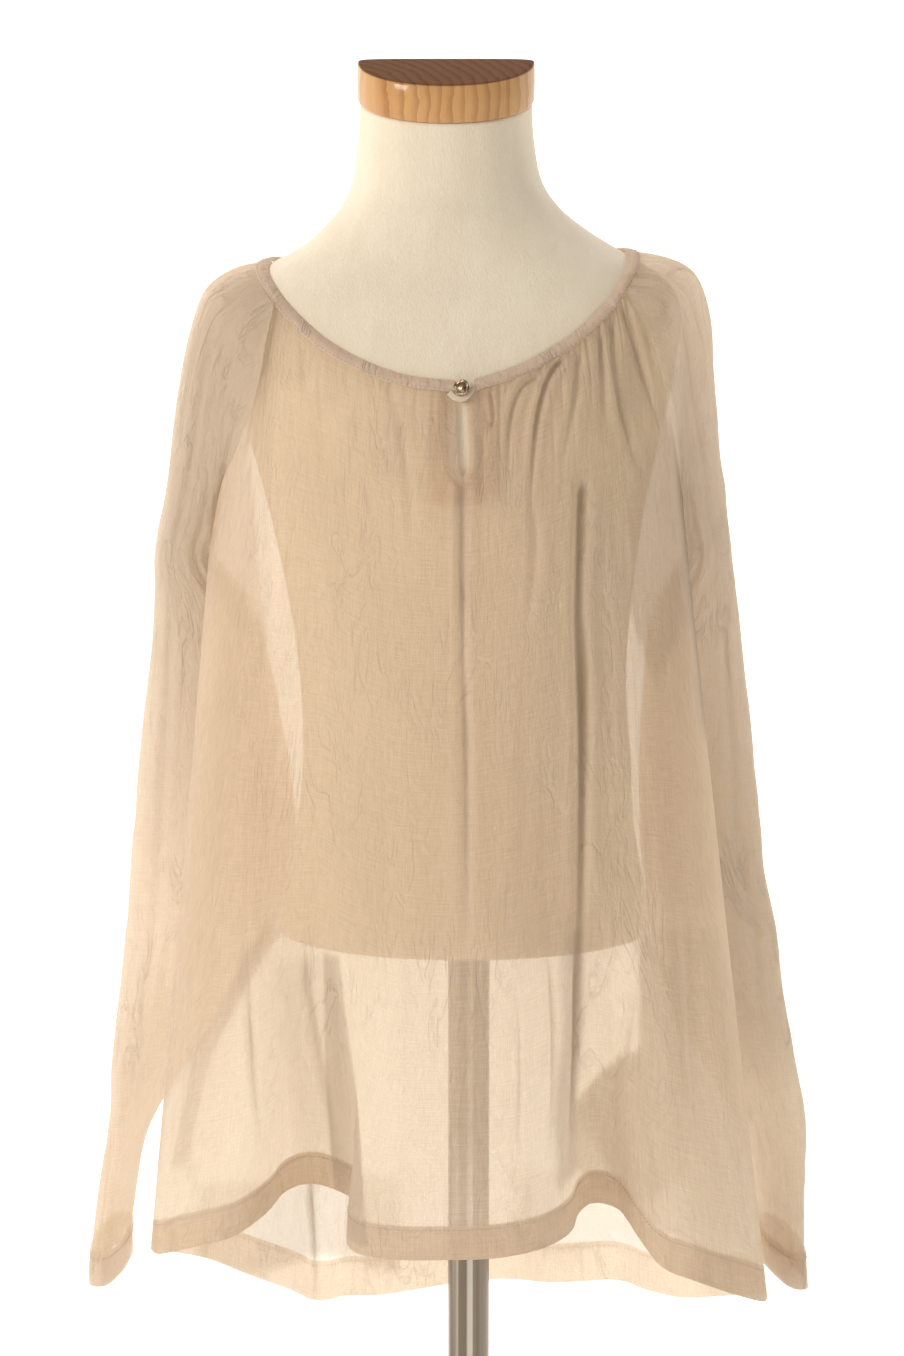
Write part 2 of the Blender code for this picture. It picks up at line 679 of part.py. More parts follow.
def kneed(share, at_knee):
    """A share that runs straight to the shoulder's corner and straight on from there."""
    if share <= SHOULDER_KNEE:
        return at_knee * share / SHOULDER_KNEE
    return mix(at_knee, 1.0, (share - SHOULDER_KNEE) / (1.0 - SHOULDER_KNEE))


def bulge(side, across, share):
    over = (across - BULGE_ACROSS) / BULGE_WIDTH
    down = (share - BULGE_DOWN) / BULGE_LENGTH
    return BULGE[side] * math.exp(-over * over - down * down)


def sleeve_grid(tree, back_tree, table, side):
    top = sleeve_top(tree, side)
    last = len(top) - 1
    grid = []
    for row in range(SHOULDER_ROWS):
        share = row / SHOULDER_ROWS
        line = []
        for step in range(last + 1):
            across = step / last
            swell = max(0.0, math.sin(math.pi * across)) ** 0.5
            end = sleeve_ring(table[0], side, across)
            out = mix(share, kneed(share, KNEE_OUT[side]), swell)
            fall = mix(share, kneed(share, KNEE_FALL[side]), swell)
            point = Vector((mix(top[step].x, end.x, out), mix(top[step].y, end.y, out),
                            mix(top[step].z, end.z, fall)))
            point.x += side * bulge(side, across, share)
            line.append(rest_on(tree, point, FORM_CLEAR))
        grid.append(line)
    for row in range(SLEEVE_ROWS + 1):
        share = row / SLEEVE_ROWS
        if row == SLEEVE_ROWS - 1:
            share = CUFF_SHARE
        ring = along([Vector(line) for line in table], share * (len(table) - 1))
        line = [sleeve_ring(ring, side, step / last) for step in range(last + 1)]
        grid.append(stay_behind(back_tree, line))
    normals = grid_normals(grid)
    facing = -side
    total = len(grid) - 1
    for row, line in enumerate(grid):
        for step in range(last + 1):
            depth = fold_depth(SLEEVE_FOLDS, step / last, row / total)
            line[step] = line[step] - normals[row][step] * (facing * depth)
            line[step] = rest_on(tree, line[step], FORM_CLEAR)
    return grid


def stay_behind(back_tree, line):
    """Move one ring of the sleeve back until all of it is behind the body's back cloth."""
    need = 0.0
    for point in line:
        hit, _, _, _ = back_tree.ray_cast(Vector((point.x, 40.0, point.z)), Vector((0, -1, 0)))
        if hit is not None:
            need = max(need, hit.y + BEHIND_GAP - point.y)
    return [point + Vector((0, need, 0)) for point in line]


def grid_tree(grid):
    points = [point for line in grid for point in line]
    columns = len(grid[0])
    faces = []
    for row in range(len(grid) - 1):
        for column in range(columns - 1):
            first = row * columns + column
            faces.append((first, first + 1, first + columns + 1, first + columns))
    return BVHTree.FromPolygons(points, faces)


def make_front(tree, cloth):
    grid = body_panel(tree, front_top(tree), FRONT_HEM, FRONT_ROWS, FRONT_FOLDS, front=True)
    pull_in(grid, RAGLAN_COLUMNS)
    slit = RAGLAN_COLUMNS + HALF_NECK_COLUMNS
    for row in range(SLIT_ROWS + 1):
        left, right = grid[row][slit], grid[row][slit + 1]
        middle = (left + right) * 0.5
        half = SLIT_HALF_WIDTH * (1.0 - 0.45 * (row / SLIT_ROWS) ** 3)
        grid[row][slit] = middle + Vector((-half, 0, 0))
        grid[row][slit + 1] = middle + Vector((half, 0, 0))
    missing = {(row, slit) for row in range(SLIT_ROWS)}
    add_object("front", wall(grid, CLOTH, missing=missing), cloth)
    hem = [line[1:-1] for line in grid[-2:]]
    inward = -(CLOTH + LAYER_GAP)
    add_object("hem_front", wall(hem, CLOTH, offset=inward), cloth)
    facing = [line[slit - 2:slit + 4] for line in grid[:SLIT_ROWS + 2]]
    cut = {(row, 2) for row in range(SLIT_ROWS)}
    add_object("keyhole_facing", wall(facing, CLOTH, offset=inward, missing=cut), cloth)
    return grid


def make_back(tree, cloth):
    grid = body_panel(tree, back_top(tree), BACK_HEM, BACK_ROWS, BACK_FOLDS, front=False)
    pull_in(grid, BACK_RAGLAN_COLUMNS)
    add_object("back", wall(grid, CLOTH, facing=1.0), cloth)
    hem = [line[1:-1] for line in grid[-2:]]
    add_object("hem_back", wall(hem, CLOTH, offset=-(CLOTH + LAYER_GAP), facing=1.0), cloth)
    return grid


def make_sleeve(tree, back_tree, cloth, table, side, name):
    grid = sleeve_grid(tree, back_tree, table, side)
    ease(grid, SLEEVE_COLUMNS // 2 + 1, SHOULDER_ROWS, EASE_ROUNDS)
    clear_cells(tree, grid, FORM_CLEAR - 0.02)
    pull_in(grid[:SHOULDER_ROWS], SLEEVE_COLUMNS // 4)
    facing = -side
    add_object("sleeve_" + name, wall(grid, CLOTH, facing=facing), cloth)
    cuff = [line[:] for line in grid[-2:]]
    add_object("cuff_" + name, wall(cuff, CLOTH, offset=CLOTH + LAYER_GAP, facing=facing), cloth)
    return grid


def make_neck_band(tree, cloth):
    steps = 72
    grid = []
    for down in (0.0, BAND_WIDTH * 0.5, BAND_WIDTH - SEAM_INSET):
        grid.append([neck_point(tree, EDGE_END * step / steps, down, BAND_CLEAR)
                     for step in range(steps + 1)])
    clear_cells(tree, grid, BAND_CLEAR - 0.02)
    add_object("neck_band", wall(grid, BAND_CLOTH), cloth)


def cord(points, radius, sides=8):
    """Round cord along a smooth curve through a few points."""
    count = 14
    spots = [along(points, (len(points) - 1) * step / count) for step in range(count + 1)]
    rings = []
    for step, spot in enumerate(spots):
        way = spots[min(step + 1, count)] - spots[max(step - 1, 0)]
        over = way.cross(Vector((0, 1, 0))).normalized()
        up = over.cross(way).normalized()
        rings.append([spot + (over * math.cos(2 * math.pi * side / sides)
                              + up * math.sin(2 * math.pi * side / sides)) * radius
                      for side in range(sides)])
    return stack(rings)


def make_button(tree, cloth, metal):
    """Domed metal button over the gap in the binding, and the cord loop that holds it."""
    x, z = BUTTON_CENTRE
    skin = lay_on(tree, Vector((x, -9.5, z)), BAND_CLEAR + 0.22)
    tilt = Vector((0.35, -1.0, 0.30)).normalized()
    over = tilt.cross(Vector((0, 0, 1))).normalized()
    up = over.cross(tilt).normalized()
    centre = skin + Vector((0.0, -0.10, 0.0))
    rings = []
    for share, rise in ((0.62, 0.0), (0.94, 0.04), (1.0, 0.12), (0.93, 0.20), (0.72, 0.24),
                        (0.40, 0.21)):
        radius, height = BUTTON_RADIUS * share, rise * BUTTON_THICK / 0.24
        rings.append([centre + tilt * height
                      + (over * math.cos(2 * math.pi * step / 24)
                         + up * math.sin(2 * math.pi * step / 24)) * radius
                      for step in range(24)])
    add_object("button", stack(rings), metal)
    low = lay_on(tree, Vector((x, -9.5, z - 0.95)), 0.62)
    left = lay_on(tree, Vector((-1.10, -9.5, 130.95)), BAND_CLEAR + LAYER_GAP + LOOP_RADIUS)
    right = lay_on(tree, Vector((0.42, -9.5, 131.20)), BAND_CLEAR + LAYER_GAP + LOOP_RADIUS)
    add_object("button_loop", cord([left, low + Vector((-0.28, 0, 0.10)), low,
                                    low + Vector((0.42, 0, 0.22)), right], LOOP_RADIUS), cloth)


voile = material("voile", (0.66, 0.52, 0.39), 0.85, sheen=0.3)
binding = material("binding", (0.60, 0.47, 0.35), 0.85, sheen=0.3)
jersey = material("jersey", (0.80, 0.72, 0.58), 0.9, sheen=0.2)
wood = material("wood", (0.45, 0.22, 0.08), 0.3)
steel = material("steel", (0.55, 0.52, 0.48), 0.35, metallic=1.0)
metal = material("button_metal", (0.36, 0.28, 0.21), 0.3, metallic=1.0)

form_tree = make_form(jersey)
make_cap(wood)
make_stand(steel)
make_front(form_tree, voile)
back_grid = make_back(form_tree, voile)
behind = grid_tree(back_grid)
make_sleeve(form_tree, behind, voile, SLEEVE_LEFT, LEFT, "left")
make_sleeve(form_tree, behind, voile, SLEEVE_RIGHT, RIGHT, "right")
make_neck_band(form_tree, binding)
make_button(form_tree, binding, metal)
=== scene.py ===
# %% [markdown]
# # A wide voile blouse on a display form
# This lesson dresses a plain model of a gathered blouse with real cloth. The frame holds the plain
# solids. Each step below makes one piece that lies on its solid, finer than the solid and with the
# weave, folds and sewing of the real thing. Tables are in centimetres, because a maker measures
# cloth that way, and each mesh is turned into metres when it is made.

# %% Frame and its size
import math

import bmesh
import bpy
import numpy as np
from mathutils import Matrix, Vector
from mathutils.bvhtree import BVHTree


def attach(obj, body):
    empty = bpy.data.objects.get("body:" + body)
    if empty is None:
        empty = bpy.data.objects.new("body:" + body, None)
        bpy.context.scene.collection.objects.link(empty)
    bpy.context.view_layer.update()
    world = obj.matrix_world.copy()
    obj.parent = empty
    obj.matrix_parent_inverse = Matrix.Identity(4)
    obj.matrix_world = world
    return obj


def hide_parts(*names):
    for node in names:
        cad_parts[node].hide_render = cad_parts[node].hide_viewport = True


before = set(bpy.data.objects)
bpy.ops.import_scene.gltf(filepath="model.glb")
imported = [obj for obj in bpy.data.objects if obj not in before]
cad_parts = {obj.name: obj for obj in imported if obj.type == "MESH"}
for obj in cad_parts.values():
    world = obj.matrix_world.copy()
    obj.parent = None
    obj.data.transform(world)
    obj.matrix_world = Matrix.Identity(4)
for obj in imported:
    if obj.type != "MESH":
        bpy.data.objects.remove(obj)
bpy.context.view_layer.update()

CM = 0.01
print("frame holds", len(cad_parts), "solids")

# %% [markdown]
# ## Camera
# The picture was taken from a few metres away, a little above the neck and looking slightly down,
# so the round neck opens into an oval and the hem shows its underside. A long lens three metres
# away gives the same flat perspective. It could be matched with a shifted lens as well, but a
# plain camera that looks at one point is easier to read.

# %% Camera
CAMERA_TARGET = Vector((-0.0116, 0.0, 1.100))
CAMERA_DISTANCE = 3.0
CAMERA_RISE = math.radians(12.0)
SENSOR_HEIGHT = 36.0
LENS = 117.1


def make_camera():
    lens = bpy.data.cameras.new("studio_camera")
    lens.sensor_fit = "VERTICAL"
    lens.sensor_height = SENSOR_HEIGHT
    lens.lens = LENS
    lens.clip_end = 200.0
    camera = bpy.data.objects.new("studio_camera", lens)
    bpy.context.scene.collection.objects.link(camera)
    away = Vector((0.0, -math.cos(CAMERA_RISE), math.sin(CAMERA_RISE)))
    camera.location = CAMERA_TARGET + away * CAMERA_DISTANCE
    camera.rotation_euler = (-away).to_track_quat("-Z", "Y").to_euler()
    bpy.context.scene.camera = camera
    return camera


make_camera()
print("camera looks at", tuple(round(value, 3) for value in CAMERA_TARGET))

# %% [markdown]
# ## Shader sums
# A finish is easier to read as a sum than as a list of linked boxes. `Value` wraps one output of a
# node and turns Python's own signs into Math nodes, and `Finish` holds the node tree. Every other
# kind of node comes from its `node` method.

# %% Shader sums
class Value:
    """One output of a node, which can be added to, multiplied and so on."""

    def __init__(self, finish, socket):
        self.finish = finish
        self.socket = socket

    def __add__(self, other):
        return self.finish.maths("ADD", self, other)

    def __sub__(self, other):
        return self.finish.maths("SUBTRACT", self, other)

    def __rsub__(self, other):
        return self.finish.maths("SUBTRACT", other, self)

    def __mul__(self, other):
        return self.finish.maths("MULTIPLY", self, other)

    __radd__ = __add__
    __rmul__ = __mul__


class Finish:
    """A node tree, with short ways to add to it."""

    def __init__(self, tree):
        self.tree = tree

    def feed(self, socket, value):
        if isinstance(value, Value):
            self.tree.links.new(value.socket, socket)
        else:
            socket.default_value = value

    def node(self, kind, settings=None, sockets=None, out=0):
        made = self.tree.nodes.new(kind)
        for name, value in (settings or {}).items():
            setattr(made, name, value)
        for name, value in (sockets or {}).items():
            self.feed(made.inputs[name], value)
        return Value(self, made.outputs[out])

    def maths(self, operation, first, second):
        return self.node("ShaderNodeMath", {"operation": operation}, {0: first, 1: second})

    def place(self, source, scale):
        """The piece's own coordinates, or its flat cloth coordinates, stretched by a scale."""
        start = self.node("ShaderNodeTexCoord", out=source)
        return self.node("ShaderNodeMapping", None, {"Vector": start, "Scale": scale})

    def noise(self, where, scale=1.0, detail=2.0, roughness=0.5, distortion=0.0):
        return self.node("ShaderNodeTexNoise", None,
                         {"Vector": where, "Scale": scale, "Detail": detail,
                          "Roughness": roughness, "Distortion": distortion})

    def ramp(self, value, low, high):
        """0 below the low value, 1 above the high one."""
        return self.node("ShaderNodeMapRange", {"interpolation_type": "SMOOTHSTEP"},
                         {"Value": value, "From Min": low, "From Max": high})

    def tint(self, share, low, high):
        return self.node("ShaderNodeMix", {"data_type": "RGBA"},
                         {0: share, 6: low, 7: high}, out=2)

    def bump(self, height, distance, strength=1.0, under=None):
        sockets = {"Height": height, "Distance": distance, "Strength": strength}
        if under is not None:
            sockets["Normal"] = under
        return self.node("ShaderNodeBump", None, sockets)


def new_finish(name):
    made = bpy.data.materials.new(name)
    made.use_nodes = True
    return made, Finish(made.node_tree), made.node_tree.nodes["Principled BSDF"]


def rgb(red, green, blue):
    return (red, green, blue, 1.0)


print("shader sums ready")

# %% [markdown]
# ## Floor and light
# A white sweep lit from behind makes thin cloth glow. The sky is brighter behind the blouse than
# in front of it, so that one layer of voile is nearly white, two are cream, and cloth that lies on
# the form is beige. A soft lamp at the front left gives the folds their shade, and painted shade in
# the cloth's colour deepens the creases.

# %% Floor and light
FLOOR_RADIUS = 40.0
FLOOR_TINT = rgb(0.86, 0.85, 0.83)
GLOW_START, GLOW_END = 0.2, 1.5         # metres behind the form where the floor's glow grows
SKY_TINT = rgb(1.0, 0.985, 0.955)
SKY_FRONT = 0.29
SKY_BACK = 1.62
SKY_LEFT_LIFT = 0.20
FLOOR_GLOW_NEAR = 0.17
FLOOR_GLOW_FAR = 0.62
KEY_POWER = 53.0
KEY_PLACE = Vector((-2.5, -1.9, 2.6))
KEY_TARGET = Vector((0.0, 0.0, 1.1))
KEY_SIZE = 1.0
KEY_TINT = (1.0, 0.97, 0.92)


def make_floor():
    disc = bmesh.new()
    bmesh.ops.create_circle(disc, cap_ends=True, radius=FLOOR_RADIUS, segments=64)
    mesh = bpy.data.meshes.new("floor")
    disc.to_mesh(mesh)
    disc.free()
    floor = bpy.data.objects.new("floor", mesh)
    bpy.context.scene.collection.objects.link(floor)
    made, finish, shader = new_finish("white_sweep")
    shader.inputs["Base Color"].default_value = FLOOR_TINT
    shader.inputs["Roughness"].default_value = 0.9
    shader.inputs["Specular IOR Level"].default_value = 0.1
    shader.inputs["Emission Strength"].default_value = 1.0
    deep = finish.tree.nodes.new("ShaderNodeSeparateXYZ")
    finish.feed(deep.inputs[0], finish.node("ShaderNodeTexCoord", out="Object"))
    far = finish.ramp(Value(finish, deep.outputs[1]), GLOW_START, GLOW_END)
    finish.feed(shader.inputs["Emission Color"],
                finish.tint(far, rgb(*[FLOOR_GLOW_NEAR] * 3), rgb(*[FLOOR_GLOW_FAR] * 3)))
    mesh.materials.append(made)


def make_sky():
    world = bpy.data.worlds.new("studio_sky")
    world.use_nodes = True
    bpy.context.scene.world = world
    finish = Finish(world.node_tree)
    way = finish.node("ShaderNodeTexCoord", out="Generated")
    parts = finish.tree.nodes.new("ShaderNodeSeparateXYZ")
    finish.feed(parts.inputs[0], way)
    across, deep = Value(finish, parts.outputs[0]), Value(finish, parts.outputs[1])
    backness = finish.ramp(deep, -0.35, 0.50)
    strength = (SKY_FRONT + backness * (SKY_BACK - SKY_FRONT)
                + finish.ramp(across * -1.0, -0.4, 0.9) * SKY_LEFT_LIFT)
    background = world.node_tree.nodes["Background"]
    background.inputs["Color"].default_value = SKY_TINT
    finish.feed(background.inputs["Strength"], strength)


def make_lamp(name, place, target, size, power, colour):
    lamp = bpy.data.lights.new(name, "AREA")
    lamp.size = size
    lamp.energy = power
    lamp.color = colour
    made = bpy.data.objects.new(name, lamp)
    bpy.context.scene.collection.objects.link(made)
    made.location = place
    made.rotation_euler = (target - place).to_track_quat("-Z", "Y").to_euler()


make_floor()
make_sky()
make_lamp("key_lamp", KEY_PLACE, KEY_TARGET, KEY_SIZE, KEY_POWER, KEY_TINT)
bpy.context.scene.view_settings.view_transform = "Standard"
print("sky from", SKY_FRONT, "to", SKY_BACK)

# %% [markdown]
# ## Measures of the blouse and the form
# These tables repeat the solids' own sizes, because the cloth lies on the same lines. A row is one
# ring of the form, one point of the neck, one flute of the hem or one section of a sleeve.

# %% Measures
BAND_WIDTH = 0.85               # of the neck binding
HEM_SHARE = 0.960               # share of a panel's length down to its hem
CUFF_SHARE = 0.945              # share of the hanging sleeve down to its cuff
FORM_CLEAR = 0.38               # from the form's skin to cloth that lies on it
HANG_CLEAR = 0.50               # the same for cloth that hangs free
BAND_CLEAR = 0.42
FULLNESS = 0.16                 # how far the gathers stand off
BEHIND_GAP = 0.50               # between the back and the sleeve behind it

# height, middle, half_width, front, seat, back, lean
FORM_RINGS = [
    (92.6, -0.33, 12.3, 8.2, 0.4, 2.8, 0.0),
    (93.1, -0.33, 12.8, 8.6, 0.4, 3.0, 0.0),
    (99.3, -0.25, 11.6, 7.9, 0.4, 3.0, 0.0),
    (104.3, -0.15, 11.2, 7.5, 0.4, 3.0, 0.0),
    (109.9, -0.40, 11.1, 7.9, 0.4, 3.0, 0.0),
    (115.4, -0.60, 11.6, 8.8, 0.4, 3.0, 0.0),
    (121.9, -0.85, 12.7, 9.2, 0.4, 3.0, 0.0),
    (126.5, -1.00, 13.8, 8.9, 0.4, 3.0, 0.0),
    (130.1, -1.10, 14.7, 8.2, 0.4, 3.0, 0.0),
    (132.8, -1.20, 15.2, 7.3, 0.4, 3.0, 0.0),
    (134.7, -1.20, 15.4, 6.5, 0.4, 3.0, 0.0),
    (136.0, -1.20, 15.1, 6.0, 0.5, 3.0, 0.0),
    (137.0, -1.10, 14.3, 5.5, 0.6, 2.95, 0.0),
    (138.1, -0.85, 12.5, 5.0, 0.8, 2.95, 0.0),
    (139.2, -0.80, 10.5, 4.6, 1.0, 2.95, 0.0),
    (140.4, -1.05, 8.8, 4.2, 1.2, 2.95, 0.01),
    (141.8, -1.30, 7.3, 3.8, 1.5, 2.95, 0.03),
    (143.5, -1.48, 6.3, 3.3, 1.8, 2.95, 0.08),
    (146.1, -1.55, 5.85, 3.1, 2.1, 2.95, 0.15),
    (148.45, -1.55, 5.72, 3.0, 2.3, 2.95, 0.22),
]

# Upper edge of the neck binding: x, y, z
NECK_EDGE = [
    (-0.95, -8.6, 131.75),
    (-4.50, -8.4, 132.20),
    (-7.80, -7.4, 133.30),
    (-10.30, -6.0, 134.70),
    (-12.30, -4.0, 136.50),
    (-13.50, -1.4, 138.20),
    (-13.10, 1.6, 138.60),
    (-11.00, 3.2, 138.40),
    (-6.50, 3.2, 137.80),
    (-1.50, 3.2, 137.60),
    (3.50, 3.2, 137.90),
    (8.20, 3.2, 138.70),
    (10.40, 1.6, 139.20),
    (10.70, -1.0, 139.10),
    (10.20, -3.6, 138.00),
    (9.20, -5.4, 136.60),
    (7.20, -7.0, 134.90),
    (3.90, -8.2, 133.10),
    (0.30, -8.6, 131.85),
]
SEAM_FRONT_LEFT = 4.0
SEAM_BACK_LEFT = 7.0
SEAM_BACK_RIGHT = 11.0
SEAM_FRONT_RIGHT = 14.3
EDGE_END = len(NECK_EDGE) - 1

# Raglan seams below the binding: x, y, z
RAGLAN_FRONT_LEFT = [(-13.9, -5.2, 131.0), (-15.4, -3.4, 126.5), (-17.3, 0.4, 122.3)]
RAGLAN_BACK_LEFT = [(-13.9, 3.5, 131.5), (-15.4, 2.8, 126.8), (-17.3, 0.4, 122.3)]
RAGLAN_FRONT_RIGHT = [(12.3, -4.6, 132.6), (13.5, -3.2, 127.6), (14.4, 0.4, 122.3)]
RAGLAN_BACK_RIGHT = [(11.8, 3.5, 132.5), (13.4, 2.6, 127.4), (14.4, 0.4, 122.3)]

# Front hem from the left side seam to the right one: x, y, z
FRONT_HEM = [
    (-22.2, -0.5, 69.4),
    (-21.3, -4.4, 70.4),
    (-18.6, -7.4, 72.0),
    (-15.9, -8.4, 73.1),
    (-13.8, -6.9, 74.2),
    (-12.6, -4.4, 74.9),
    (-10.8, -3.3, 75.1),
    (-8.6, -3.7, 74.5),
    (-7.4, -5.2, 73.9),
    (-8.3, -7.8, 73.1),
    (-7.9, -9.8, 72.5),
    (-5.4, -11.2, 72.4),
    (-1.4, -11.9, 72.6),
    (2.1, -12.0, 72.8),
    (5.1, -11.1, 73.2),
    (6.9, -9.0, 73.6),
    (7.5, -6.4, 74.0),
    (8.6, -4.5, 74.1),
    (10.3, -4.5, 73.6),
    (11.5, -6.4, 72.4),
    (13.1, -8.5, 70.9),
    (15.6, -9.0, 70.0),
    (18.4, -7.2, 68.4),
    (20.4, -4.0, 66.8),
    (20.9, -0.5, 65.9),
]
# Back hem from the left side seam to the right one: x, y, z
BACK_HEM = [
    (-22.2, -0.5, 69.4),
    (-21.0, 2.4, 68.2),
    (-18.4, 4.2, 67.0),
    (-15.4, 4.6, 65.6),
    (-12.9, 6.6, 63.9),
    (-10.9, 8.8, 62.2),
    (-8.9, 7.9, 62.9),
    (-6.4, 5.6, 63.8),
    (-3.2, 6.2, 64.1),
    (-0.2, 7.9, 64.0),
    (2.9, 7.0, 64.5),
    (5.8, 5.2, 64.9),
    (8.4, 6.6, 64.5),
    (10.9, 7.6, 64.2),
    (12.9, 6.6, 63.8),
    (15.2, 7.6, 62.9),
    (17.6, 6.4, 63.4),
    (19.9, 3.0, 64.8),
    (20.9, -0.5, 65.9),
]

# Sections of the hanging sleeves: height, middle_x, middle_y, half_width, half_thick, turn
SLEEVE_LEFT = [
    (118.0, -19.35, 1.7, 2.05, 1.9, 0.0),
    (112.0, -17.9, 4.2, 3.9, 1.6, 0.0),
    (102.0, -17.8, 5.4, 5.3, 1.4, -4.0),
    (97.0, -17.8, 5.9, 5.75, 1.3, -6.0),
    (91.5, -18.6, 6.1, 5.4, 1.3, -12.0),
    (86.0, -20.5, 6.0, 4.7, 1.2, -32.0),
    (81.0, -22.0, 5.8, 4.6, 1.1, -54.0),
    (76.5, -23.9, 5.5, 4.5, 1.05, -78.0),
    (71.8, -25.0, 5.1, 4.5, 1.0, -83.0),
    (66.4, -25.4, 4.6, 4.6, 1.05, -82.0),
]
SLEEVE_RIGHT = [
    (118.0, 16.20, 2.2, 1.70, 1.9, 0.0),
    (112.0, 15.5, 4.6, 3.3, 1.6, 0.0),
    (102.0, 15.9, 5.4, 4.0, 1.4, -4.0),
    (97.0, 16.2, 5.9, 4.2, 1.3, -6.0),
    (91.5, 17.1, 6.2, 4.5, 1.3, -10.0),
    (86.0, 18.0, 6.4, 4.5, 1.2, -24.0),
    (81.0, 19.6, 6.4, 4.5, 1.1, -44.0),
    (76.5, 21.2, 6.1, 4.5, 1.0, -60.0),
    (71.8, 22.0, 5.5, 4.5, 0.9, -74.0),
    (66.0, 22.3, 5.0, 4.6, 0.9, -76.0),
]
LEFT, RIGHT = -1.0, 1.0

RAGLAN_COLUMNS = 6
HALF_NECK_COLUMNS = 28
BACK_RAGLAN_COLUMNS = 5
BACK_NECK_COLUMNS = 32
SLEEVE_COLUMNS = 28
SLIT_SHARE = 0.095
FRONT_ROWS = [0.0, 0.03, 0.06, SLIT_SHARE, 0.14, 0.20, 0.27, 0.35, 0.43, 0.51, 0.59, 0.67, 0.75,
              0.83, 0.90, HEM_SHARE, 1.0]
BACK_ROWS = [0.0, 0.04, 0.09, 0.15, 0.22, 0.30, 0.39, 0.48, 0.57, 0.66, 0.75, 0.83, 0.90,
             HEM_SHARE, 1.0]
SHOULDER_ROWS = 7
SHOULDER_KNEE = 2.0 / 7.0       # share of the shoulder's rows down to its corner
KNEE_OUT = {LEFT: 0.565, RIGHT: 0.60}
KNEE_FALL = {LEFT: 0.030, RIGHT: 0.005}
BULGE = {LEFT: 0.0, RIGHT: 1.4}    # slack back cloth stands out at the right shoulder
BULGE_ACROSS, BULGE_DOWN = 0.58, 0.40
BULGE_WIDTH, BULGE_LENGTH = 0.10, 0.14
SLEEVE_ROWS = 11
CLEAR_ROUNDS = 4
EASE_ROUNDS = 3
EASE_COLUMNS = 11
EASE_ROWS = 8
DOUBLE_REACH = 8                # strands on each side that tell how far a flute doubles over
print("front hem", len(FRONT_HEM), "points, back hem", len(BACK_HEM), "points")

# %% [markdown]
# ## Lines through the tables
# A curve through every row keeps the sizes where they were measured. The same curve, run across
# and down a grid of points, turns a coarse sheet into a fine one without moving the points that
# it started from.

# %% Lines and grids
CHORDS = 12                     # short lines that stand for the curve between two rows


def mix(start, end, share):
    return start + (end - start) * share


def smooth(share):
    share = min(1.0, max(0.0, share))
    return share * share * (3.0 - 2.0 * share)


def smooths(share):
    share = np.clip(share, 0.0, 1.0)
    return share * share * (3.0 - 2.0 * share)


def along(points, place):
    """Point at a fractional row of a table, on a smooth curve through all of its rows."""
    last = len(points) - 1
    row = min(max(int(math.floor(place)), 0), last - 1)
    share = place - row
    picks = [points[min(max(row + step, 0), last)] for step in (-1, 0, 1, 2)]
    before, start, end, after = [Vector(pick) for pick in picks]
    curve = (start * 2.0 + (end - before) * share
             + (before * 2.0 - start * 5.0 + end * 4.0 - after) * share ** 2
             + (start * 3.0 - before - end * 3.0 + after) * share ** 3)
    return curve * 0.5


def even_places(points, count):
    """Fractional rows that cut the curve through a table into steps of equal length."""
    fine = CHORDS * (len(points) - 1)
    places = [index / CHORDS for index in range(fine + 1)]
    spots = [along(points, place) for place in places]
    lengths = [0.0]
    for before, after in zip(spots, spots[1:]):
        lengths.append(lengths[-1] + (after - before).length)
    found = []
    reach = 0
    for step in range(count + 1):
        goal = lengths[-1] * step / count
        while reach < fine - 1 and lengths[reach + 1] < goal:
            reach += 1
        span = lengths[reach + 1] - lengths[reach]
        found.append(mix(places[reach], places[reach + 1], (goal - lengths[reach]) / span))
    return found


def stretched(points, times):
    """A table with each of its steps cut into a number of smaller ones, on a smooth curve."""
    points = np.asarray(points, dtype=float)
    last = len(points) - 1
    place = np.arange(last * times + 1) / times
    row = np.minimum(place.astype(int), last - 1)
    share = (place - row).reshape((-1,) + (1,) * (points.ndim - 1))
    before = points[np.maximum(row - 1, 0)]
    start, end = points[row], points[row + 1]
    after = points[np.minimum(row + 2, last)]
    return 0.5 * (2.0 * start + (end - before) * share
                  + (2.0 * before - 5.0 * start + 4.0 * end - after) * share ** 2
                  + (3.0 * start - before - 3.0 * end + after) * share ** 3)


def finer(grid, rows, columns):
    """The same cloth with each cell cut into rows by columns smaller ones."""
    points = np.array([[tuple(point) for point in line] for line in grid])
    down = stretched(points, rows)
    return np.swapaxes(stretched(np.swapaxes(down, 0, 1), columns), 0, 1)


def out_of(grid, facing):
    """Direction square to the cloth at each point, on its outer side."""
    normal = np.cross(np.gradient(grid, axis=1), np.gradient(grid, axis=0)) * facing
    return normal / np.maximum(np.linalg.norm(normal, axis=2, keepdims=True), 1e-9)


print("curves ready")

# %% [markdown]
# ## The form's skin
# The form is a padded shell with a knitted cover: round in front and flat at the back. It could be
# sculpted, but rings of a few sizes, smoothed between the rows, follow the measured outline and
# stay easy to change. Each ring is extruded from the one below it.

# %% The form
FORM_AROUND = 120
FORM_FINER = 6
ROUND_POWER, FLAT_POWER = 0.95, 0.50     # how round the form is in front and at the back
FRONT_SHARE, BACK_SHARE = 0.6, 0.4       # of a ring's points


def ring_point(ring, angle):
    """Point on one ring: a round front and a flat back with rounded corners."""
    height, middle, half_width, front, seat, back, lean = ring
    across, deep = math.cos(angle), math.sin(angle)
    power = ROUND_POWER if deep < 0 else FLAT_POWER
    reach = front + seat if deep < 0 else back - seat
    across_part = math.copysign(abs(across) ** power, across) * half_width
    y = seat + math.copysign(abs(deep) ** power, deep) * reach
    return Vector((middle + across_part, y, height + lean * y))


